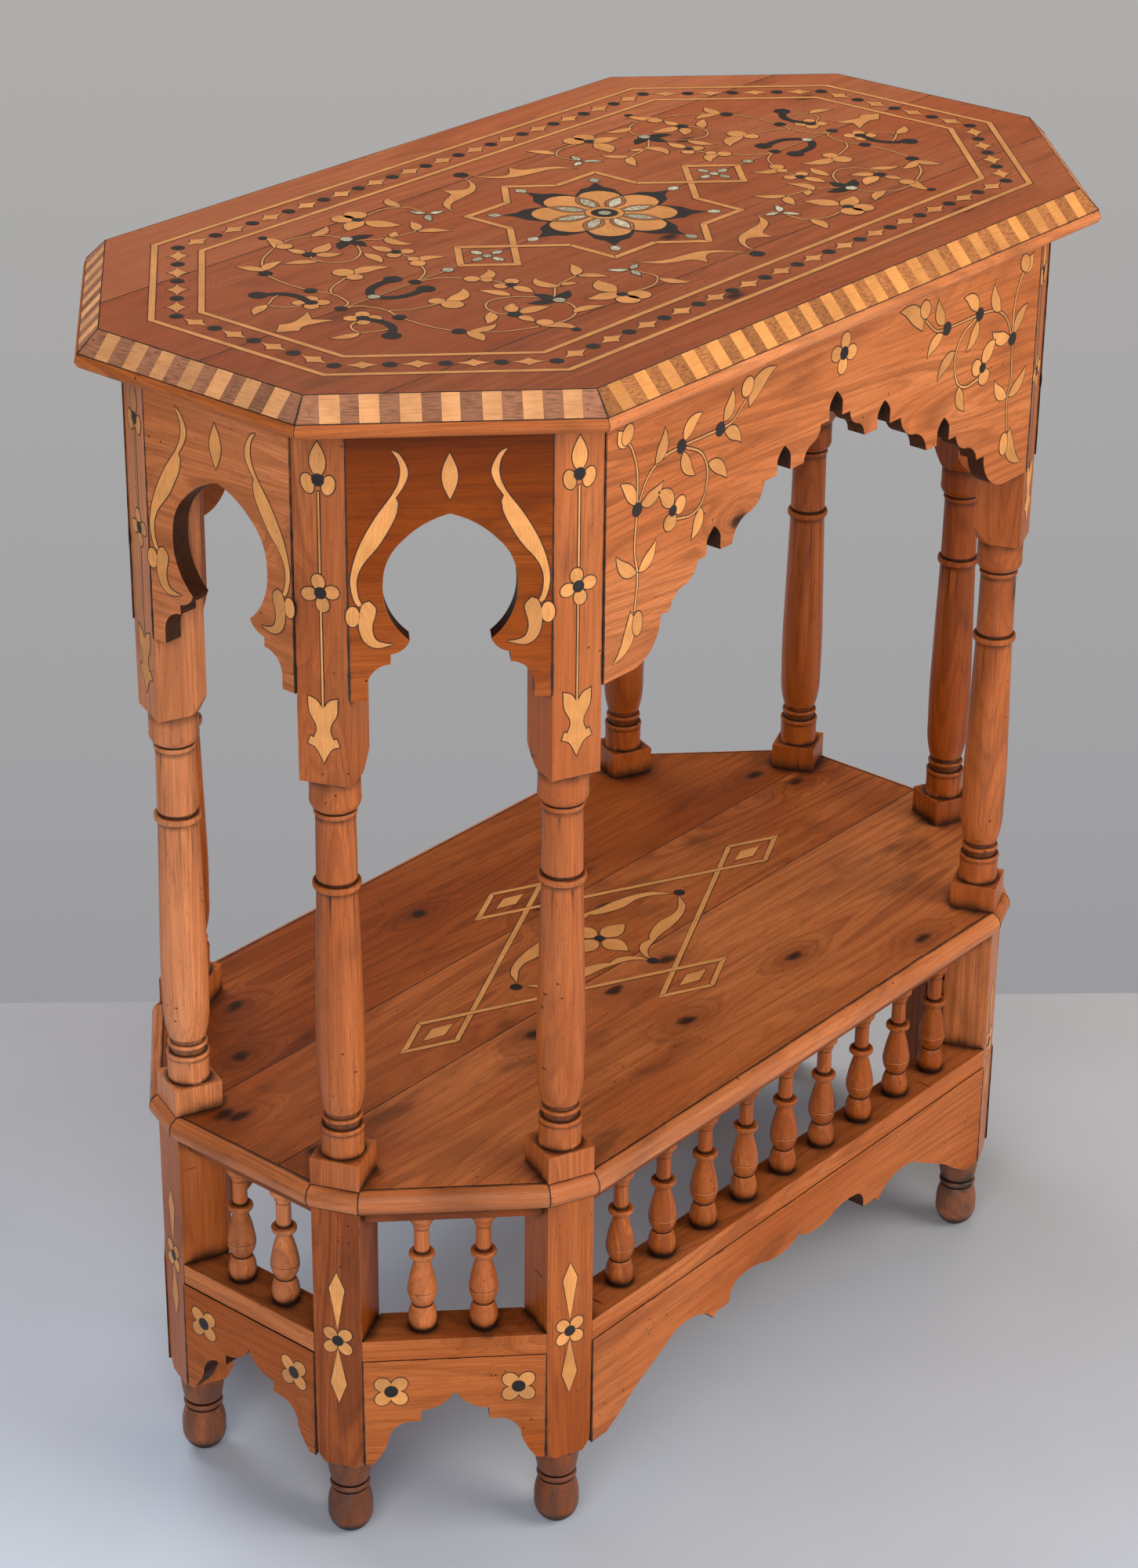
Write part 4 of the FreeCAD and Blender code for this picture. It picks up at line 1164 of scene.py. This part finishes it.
# On the shelf, from the middle of the pattern: crossings of the straps, half sizes of a lozenge at
# a crossing and of its filling, dots, one scroll and the reach and width of a petal
SHELF_MIDDLE = (9.5, 3.3)
SHELF_CROSSINGS = (121.5, 59.7)
SHELF_LOZENGE = (30.5, 14.8)
SHELF_FILLING = (13.6, 5.2)
SHELF_DOTS = ((80.5, 0), (0, 43.0))
SHELF_SCROLL = (((77, 2.5), (74, 7), (69.5, 13.8), (59.5, 19.6), (44.5, 23.8), (29.5, 25.6), (19.5, 28),
                 (9.5, 31.3), (3, 37)),
                ((0.8, 41.5), (1.4, 35), (5, 28.6), (12, 24.1)),
                ((20, 24.6), (23.3, 21.3), (30.8, 17.6), (42, 14.6), (54.5, 15), (63.3, 12.3), (71, 6.8)))
SHELF_PETAL = ((2.5, 25.0), (2.5, 23.5))
SHELF_PETAL_WIDTH = 14.0


def below(pieces, height):
    """Turn heights measured down from a level into heights from the floor."""
    return shifted(mirrored(pieces, 1, -1), (0, height))


def both_halves(pieces):
    """The pieces and their mirror images across the upright axis."""
    return pieces + mirrored(pieces, -1, 1)


def spray(stem):
    """Two flowering sprays and the flower between them, on a long upper apron."""
    half = [piece("lemonwood", ribbon(line, stem)) for line in SPRAY_STEMS]
    half += [piece("lemonwood", leaf(*shape), 1) for shape in SPRAY_LEAVES]
    half += [piece("lemonwood", disc(*shape), 2) for shape in SPRAY_LOBES]
    half += [piece("black", disc(*shape), 3) for shape in SPRAY_DOTS]
    return below(both_halves(half) + flower(*SPRAY_FLOWER), APRON_TOP)


def arch_ornament():
    """Long leaves and bells that follow a horseshoe arch, and the oval over it."""
    half = [piece("lemonwood", drawn(*ARCH_LEAF)), piece("lemonwood", drawn(*ARCH_BELL), 1),
            piece("lemonwood", disc(*ARCH_BUD), 1)]
    return below(both_halves(half) + [piece("lemonwood", leaf(*ARCH_OVAL))], APRON_TOP)


def post_ornament():
    """Bud, flower and fishtail on a string, on the block of a column."""
    pieces = [piece("lemonwood", leaf(*POST_BUD)), piece("black", disc(*POST_EYE), 3)]
    pieces += [piece("lemonwood", disc(*shape), 1) for shape in POST_PETALS]
    for high, low in POST_STRINGS:
        pieces.append(piece("lemonwood", ribbon([(0, high), (0, low)], POST_STRING_WIDTH)))
    pieces += flower(*POST_FLOWER)
    pieces.append(piece("lemonwood", drawn_twice(POST_FISHTAIL, -1, 1)))
    return below(pieces, APRON_TOP)


def kite(top, side, bottom):
    """Kite on the upright axis, by its top, its right corner and its bottom."""
    return [top, side, bottom, (-side[0], side[1])]


def lower_post_ornament():
    """A flower between two kites, on a lower post."""
    pieces = [piece("lemonwood", kite(*shape)) for shape in LOWER_KITES]
    pieces += flower(*LOWER_FLOWER)
    return shifted(pieces, (0, RAIL_TOP))


def lower_apron_ornament():
    """A flower near each end of a short lower apron."""
    return shifted(both_halves(flower(*APRON_FLOWER)), (0, RAIL_TOP))


def shelf_ornament(width):
    """One endless strap that crosses itself four times, round a flower in a wreath of scrolls."""
    (far, near), (long, high) = SHELF_CROSSINGS, SHELF_LOZENGE
    half = [(far + 2 * long, 0), (far + long, -high), (-long, near + high), (0, near + 2 * high),
            (long, near + high), (-far - long, -high)]
    strap = half + [(-x, -y) for x, y in half]
    pieces = [piece("lemonwood", edge, n % 2) for n, edge in enumerate(band(strap, width))]
    along, up = SHELF_FILLING
    filling = ((along, 0), (0, up), (-along, 0), (0, -up))
    for middle in ((far + long, 0), (0, near + high)):
        for sign in (1, -1):
            pieces.append(piece("lemonwood", [Vector(middle) * sign + Vector(v) for v in filling]))
    for dot in SHELF_DOTS:
        for sign in (1, -1):
            pieces.append(piece("black", disc(Vector(dot) * sign, DOT_RADIUS), 2))
    scroll = [piece("lemonwood", drawn(*SHELF_SCROLL))]
    for sx in (1, -1):
        for sy in (1, -1):
            pieces += mirrored(scroll, sx, sy)
    for (start, end), way in zip(SHELF_PETAL, ((1, 0), (0, 1))):
        for sign in (1, -1):
            ahead = Vector(way) * sign
            pieces.append(piece("lemonwood", leaf(ahead * start, ahead * end, SHELF_PETAL_WIDTH), 1))
    pieces.append(piece("black", disc((0, 0), DOT_RADIUS), 3))
    return shifted(pieces, SHELF_MIDDLE)


def framed(offset):
    """Outline round the posts and rails, moved out by offset: two corners for each post."""
    corners = []
    reach = POST_HALF + offset * math.tan(math.radians(HALF_SIDE_TURN / 2))
    for n in range(len(CORNERS)):
        middle, face = post_at(n)
        for sign in (-1, 1):
            corners.append((middle + face * (POST_HALF + offset) + left_of(face) * reach * sign).to_2d())
    return corners


# Widths of wax lines: between the shelf and its nosing, between boards, and between an apron and a
# post, where it grows from the top down and lies a little inside the apron
GUTTER = 0.8
BOARD_JOINT = 0.9
APRON_JOINT = (0.7, 2.0)
APRON_JOINT_INSET = 0.3
# Lines over the joints of the nosing: half their width, how far they stand proud, and their steps
MITRE_HALF, MITRE_RISE = 0.35, 0.12
MITRE_STEP = 15.0
MITRE_STEPS = range(-4, 7)


def board_joints(nodes):
    """Wax in the joints between boards that lie side by side."""
    lines = []
    for a, b in zip(nodes, nodes[1:]):
        (low, high), (other_low, other_high) = node_box(b), node_box(a)
        left, right = max(low.x, other_low.x), min(high.x, other_high.x)
        lines.append(wax_line((left, other_high.y), (right, other_high.y), BOARD_JOINT))
    return lines


def apron_joints(n, node):
    """Wax in the joints between an apron and the posts at its ends."""
    corners = framed(0)
    half = (corners[2 * n] - corners[2 * n - 1]).length / 2 - APRON_JOINT_INSET
    low, high = node_box(node)
    return [wax_line((x, high.z), (x, low.z), *APRON_JOINT) for x in (-half, half)]


def mitre_lines(name, corners, height):
    """Dark lines over the half-round nosing, where its strips meet."""
    mesh = bmesh.new()
    tall = (SHELF - SHELF_UNDER) / 2
    for n, corner in enumerate(corners):
        before, after = corners[n - 1], corners[(n + 1) % len(corners)]
        ahead = ((corner - before).normalized() + (after - corner).normalized()).normalized()
        side = ahead.to_3d() * MITRE_HALF
        out = -left_of(ahead).to_3d() / math.cos(math.radians(HALF_SIDE_TURN / 2))
        rows = []
        for step in MITRE_STEPS:
            arc = heading(step * MITRE_STEP) * (tall + MITRE_RISE)
            spot = corner.to_3d() + out * arc.x + UP * (height - tall + arc.y)
            rows.append([mesh.verts.new((spot + side * sign) * MM) for sign in (-1, 1)])
        for low, high in zip(rows, rows[1:]):
            mesh.faces.new((low[0], low[1], high[1], high[0]))
    shown(name, baked(name, mesh), "mastic", INLAY_SLOTS["mastic"])


# Operators

class TABLE_OT_top_boards(bpy.types.Operator):
    """Soften and finish the boards of the top"""
    bl_idname = "table.top_boards"
    bl_label = "Top boards"

    def execute(self, context):
        softened("top_boards", TOP_BOARDS, "board", "top_wood", "waxed_top", BOARD_ARRIS)
        return {"FINISHED"}


class TABLE_OT_top_inlay(bpy.types.Operator):
    """Lay the border, rosette, straps and vines in the top"""
    bl_idname = "table.top_inlay"
    bl_label = "Top inlay"

    def execute(self, context):
        sizes = context.scene.table_sizes
        stem = sizes.stem / MM
        pieces = border(sizes.string / MM, sizes.lozenge / MM)
        pieces += strapwork(sizes.strap / MM) + rosette()
        pieces += board_joints(TOP_BOARDS)
        quarter = vine_quarter(stem) + [piece("lemonwood", drawn(*SCROLL))]
        for sx in (1, -1):
            pieces += mirrored(vine_axis(stem), sx, 1)
            pieces.append(piece("black", disc((0, SCROLL_DOT_REACH * sx), SCROLL_DOT), 2))
            for sy in (1, -1):
                pieces += mirrored(quarter, sx, sy)
        lay("top_inlay", [(flat_bed(TOP), pieces)], TOP_DULL)
        return {"FINISHED"}


# Blocks on the bevel: how far its foot lies in from the lip and down from the top, the margin above
# and below the blocks, how far a joint may be out of place as a share of a block, and the joint itself
BEVEL_IN, BEVEL_DOWN = 1.6, 12.0
BLOCK_MARGIN = 0.5
BLOCK_SLIP = 0.06
BLOCK_JOINT = 0.008


def bevel_blocks(n, block):
    """Light and dark blocks on one side of the bevel, with a dark one at each mitre, and their bed."""
    side = SIDES[n]
    light, dark = ("lemonwood", "walnut") if side in LONG_SIDES else ("pearwood", "plumwood")
    stretch = STRETCH if side in LONG_SIDES else 0.0
    face = outward(SIDE_TURN * n)
    foot = face * (EDGE - BEVEL_IN) + pulled(face) + UP * (TOP - BEVEL_DOWN)
    rise = face * (BOARD_EDGE - EDGE + BEVEL_IN) + UP * BEVEL_DOWN
    low, high = BLOCK_MARGIN, rise.length - BLOCK_MARGIN
    low_half = (EDGE - BEVEL_IN) * LEAN + stretch
    high_half = BOARD_EDGE * LEAN + stretch
    middle = low_half + high_half
    count = round((middle / block - 1) / 2) * 2 + 1
    step = middle / count
    seed = random.Random(side)
    cuts = [step * (m + seed.uniform(-BLOCK_SLIP, BLOCK_SLIP)) - middle / 2 for m in range(count + 1)]
    lows, highs = [-low_half, *cuts[1:-1], low_half], [-high_half, *cuts[1:-1], high_half]
    pieces = []
    for m in range(count):
        corners = ((lows[m], low), (lows[m + 1], low), (highs[m + 1], high), (highs[m], high))
        quad = [Vector(corner) for corner in corners]
        centre = sum(quad, Vector((0, 0))) / len(quad)
        shrunk = [q + (centre - q) * BLOCK_JOINT for q in quad]
        pieces.append(piece(light if m % 2 else dark, shrunk, 0, (1, 0)))
    return bed(foot, left_of(face), rise.normalized()), pieces


class TABLE_OT_top_edges(bpy.types.Operator):
    """Finish the edge strips and face their bevel with light and dark blocks"""
    bl_idname = "table.top_edges"
    bl_label = "Top edges"

    def execute(self, context):
        softened("top_edges", ["top_edge_" + side for side in SIDES], "side", "edge_wood")
        block = context.scene.table_sizes.block / MM
        lay("edge_blocks", [bevel_blocks(n, block) for n in range(len(SIDES))])
        return {"FINISHED"}


class TABLE_OT_columns(bpy.types.Operator):
    """Finish the turned columns and inlay the faces of their blocks"""
    bl_idname = "table.columns"
    bl_label = "Columns"

    def execute(self, context):
        softened("columns", ["column_" + corner for corner in CORNERS], "upright", "frame_wood",
                 "burnished_frame", POST_ARRIS)
        lay("post_inlay", [(corner_bed(n), post_ornament()) for n in range(len(CORNERS))])
        return {"FINISHED"}


class TABLE_OT_upper_aprons(bpy.types.Operator):
    """Finish the arched aprons under the top and inlay their faces"""
    bl_idname = "table.upper_aprons"
    bl_label = "Upper aprons"

    def execute(self, context):
        softened("upper_aprons", ["upper_apron_" + side for side in SIDES], "side", "frame_wood")
        stem = context.scene.table_sizes.stem / MM
        beds = []
        for n, side in enumerate(SIDES):
            pieces = spray(stem) if side in LONG_SIDES else arch_ornament()
            beds.append((side_bed(n), pieces + apron_joints(n, "upper_apron_" + side)))
        lay("apron_inlay", beds)
        return {"FINISHED"}


class TABLE_OT_shelf(bpy.types.Operator):
    """Finish the shelf and its nosing and inlay the straps in its middle"""
    bl_idname = "table.shelf"
    bl_label = "Shelf"

    def execute(self, context):
        softened("shelf_boards", SHELF_BOARDS, "board", "shelf_wood", "waxed_shelf", BOARD_ARRIS)
        softened("shelf_edge", ["shelf_nosing"], "side", "frame_wood", "burnished_frame", NOSING_ARRIS)
        pieces = shelf_ornament(context.scene.table_sizes.shelf_strap / MM)
        pieces += board_joints(SHELF_BOARDS)
        corners = framed(SHELF_EDGE - RAIL_FACE)
        gutter = framed(SHELF_EDGE - RAIL_FACE + GUTTER / 2)
        pieces += [wax_line(a, b, GUTTER) for a, b in neighbours(gutter)]
        lay("shelf_inlay", [(flat_bed(SHELF), pieces)], TOP_DULL)
        mitre_lines("nosing_joints", corners, SHELF)
        return {"FINISHED"}


class TABLE_OT_gallery(bpy.types.Operator):
    """Finish the rails and turned balusters under the shelf"""
    bl_idname = "table.gallery"
    bl_label = "Gallery"

    def execute(self, context):
        softened("rails", ["rail_" + side for side in SIDES] + ["head_rails"], "side", "frame_wood")
        softened("turned_balusters", ["balusters"], "upright", "frame_wood", "burnished_frame",
                 BALUSTER_ARRIS)
        return {"FINISHED"}


class TABLE_OT_lower_posts(bpy.types.Operator):
    """Finish the lower posts with their ball feet and inlay their faces"""
    bl_idname = "table.lower_posts"
    bl_label = "Lower posts"

    def execute(self, context):
        softened("lower_posts", ["lower_post_" + corner for corner in CORNERS], "upright", "frame_wood",
                 "burnished_frame", POST_ARRIS)
        lay("lower_post_inlay", [(corner_bed(n), lower_post_ornament()) for n in range(len(CORNERS))])
        return {"FINISHED"}


class TABLE_OT_lower_aprons(bpy.types.Operator):
    """Finish the aprons under the gallery and inlay the short ones"""
    bl_idname = "table.lower_aprons"
    bl_label = "Lower aprons"

    def execute(self, context):
        softened("low_aprons", ["lower_apron_" + side for side in SIDES], "side", "frame_wood")
        beds = []
        for n, side in enumerate(SIDES):
            pieces = [] if side in LONG_SIDES else lower_apron_ornament()
            beds.append((side_bed(n), pieces + apron_joints(n, "lower_apron_" + side)))
        lay("lower_apron_inlay", beds)
        return {"FINISHED"}


# The camera, found by fitting the corners of the top, the shelf and the columns to the picture
PICTURE_HEIGHT = 2000.0
FOCAL_PIXELS = 4603.43
SENSOR = 36.0
CAMERA_PLACE = (-1527.81, -1245.24, 1349.13)
CAMERA_AZIMUTH, CAMERA_ELEVATION, CAMERA_ROLL = -50.332, 26.693, 0.608
WALL_TURN = 131.9           # the way that the wall faces, as a turn from the front
WALL_PLACE = (266.5, 239.0)
STAGE_SIZE = 8000.0
# Name, place, size, power and colour: warm window light, and a cool glow off the floor
LAMPS = (("key", (-2900, -1760, 2300), 2400, 82.0, "#FDF5EE"),
         ("fill", (900, -2500, 1700), 1900, 64.0, "#FFF5E6"),
         ("rim", (300, 2100, 1900), 1800, 42.0, "#EEF4FF"),
         ("overhead", (700, 500, 2400), 1800, 22.0, "#FFF1E2"),
         ("floor_glow", (-1600, -1900, 320), 600, 14.0, "#C2D9FF"))
MIRRORED_LAMPS = ("key", "fill", "overhead")     # lamps that the wax may mirror
ROOM_COLOUR, ROOM_STRENGTH = "#E6E9EE", 0.1


class TABLE_OT_stage(bpy.types.Operator):
    """Set the pale floor, the wall that glows with painted light, the soft lamps and the camera"""
    bl_idname = "table.stage"
    bl_label = "Stage"

    def plane(self, name, matrix, material):
        """Add a large flat sheet that belongs to the stage."""
        half = STAGE_SIZE * MM / 2
        corners = [(-half, -half, 0), (half, -half, 0), (half, half, 0), (-half, half, 0)]
        mesh = bpy.data.meshes.new(name)
        mesh.from_pydata(corners, [], [(0, 1, 2, 3)])
        mesh.materials.append(material)
        made = bpy.data.objects.new(name, mesh)
        made.matrix_world = matrix
        bpy.context.scene.collection.objects.link(made)
        made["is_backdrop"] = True
        return made

    def lamps(self, scene):
        """Hang the lamps, all aimed at the middle of the table, in a dim room."""
        for name, spot, size, power, colour in LAMPS:
            lamp = bpy.data.lights.new(name, "AREA")
            lamp.size = size * MM
            lamp.energy = power
            lamp.color = linear(colour)[:3]
            made = bpy.data.objects.new(name, lamp)
            made.location = Vector(spot) * MM
            aim = UP * (TOP / 2 * MM) - made.location
            made.rotation_euler = aim.to_track_quat("-Z", "Y").to_euler()
            made.visible_glossy = name in MIRRORED_LAMPS
            made.visible_camera = False
            scene.collection.objects.link(made)
        world = bpy.data.worlds.new("soft room")
        world.use_nodes = True
        sky = world.node_tree.nodes["Background"]
        sky.inputs["Color"].default_value = linear(ROOM_COLOUR)
        sky.inputs["Strength"].default_value = ROOM_STRENGTH
        scene.world = world

    def camera(self, scene):
        """Stand the camera where the picture was taken from."""
        camera = bpy.data.cameras.new("camera")
        camera.sensor_width = SENSOR
        camera.lens = FOCAL_PIXELS / PICTURE_HEIGHT * SENSOR
        made = bpy.data.objects.new("camera", camera)
        azimuth, elevation, roll = (math.radians(a) for a in (CAMERA_AZIMUTH, CAMERA_ELEVATION, CAMERA_ROLL))
        turn = Matrix.Rotation(azimuth, 4, "Z") @ Matrix.Rotation(math.pi / 2 - elevation, 4, "X")
        place = Matrix.Translation(Vector(CAMERA_PLACE) * MM)
        made.matrix_world = place @ turn @ Matrix.Rotation(roll, 4, "Z")
        scene.collection.objects.link(made)
        scene.camera = made

    def execute(self, context):
        colours = context.scene.table_colours
        floor_paint = painted_floor("floor_paint_rolled", colours.floor, colours.floor_shade_far)
        self.plane("floor", Matrix.Identity(4), floor_paint)
        face = -outward(WALL_TURN)
        upright = Matrix((left_of(face), UP, face)).transposed().to_4x4()
        place = Matrix.Translation(Vector((*WALL_PLACE, STAGE_SIZE / 2)) * MM)
        wall_paint = wall_glowing_with_painted_light("wall_paint_rolled", colours.wall_glow_low, colours.wall_glow_high)
        wall = self.plane("wall", place @ upright, wall_paint)
        wall.visible_shadow = False
        wall.visible_diffuse = False
        wall.visible_glossy = False
        self.lamps(context.scene)
        context.scene.view_settings.view_transform = "Standard"
        self.camera(context.scene)
        return {"FINISHED"}


class TABLE_PT_panel(bpy.types.Panel):
    """Lists the pieces of the table"""
    bl_idname = "TABLE_PT_panel"
    bl_label = "Inlaid table"
    bl_space_type = "VIEW_3D"
    bl_region_type = "UI"
    bl_category = "Table"

    def draw(self, context):
        for group in (context.scene.table_sizes, context.scene.table_colours):
            column = self.layout.column()
            for name in group.__annotations__:
                column.prop(group, name)
        for operator in OPERATORS:
            self.layout.operator(operator.bl_idname)


OPERATORS = (TABLE_OT_top_boards, TABLE_OT_top_edges, TABLE_OT_top_inlay, TABLE_OT_columns,
             TABLE_OT_upper_aprons, TABLE_OT_shelf, TABLE_OT_gallery, TABLE_OT_lower_posts,
             TABLE_OT_lower_aprons, TABLE_OT_stage)
CLASSES = (TableSizes, TableColours, *OPERATORS, TABLE_PT_panel)


def register():
    for made in CLASSES:
        bpy.utils.register_class(made)
    bpy.types.Scene.table_sizes = bpy.props.PointerProperty(type=TableSizes)
    bpy.types.Scene.table_colours = bpy.props.PointerProperty(type=TableColours)


def unregister():
    del bpy.types.Scene.table_colours
    del bpy.types.Scene.table_sizes
    for made in reversed(CLASSES):
        bpy.utils.unregister_class(made)


def main():
    register()
    bpy.ops.table.top_boards()
    bpy.ops.table.top_edges()
    bpy.ops.table.top_inlay()
    bpy.ops.table.columns()
    bpy.ops.table.upper_aprons()
    bpy.ops.table.shelf()
    bpy.ops.table.gallery()
    bpy.ops.table.lower_posts()
    bpy.ops.table.lower_aprons()
    bpy.ops.table.stage()
    boxes = {"cad": CAD_BOX, "visual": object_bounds()}
    {name: [list(corner) for corner in box] for name, box in boxes.items()}


if __name__ == "__main__":
    main()
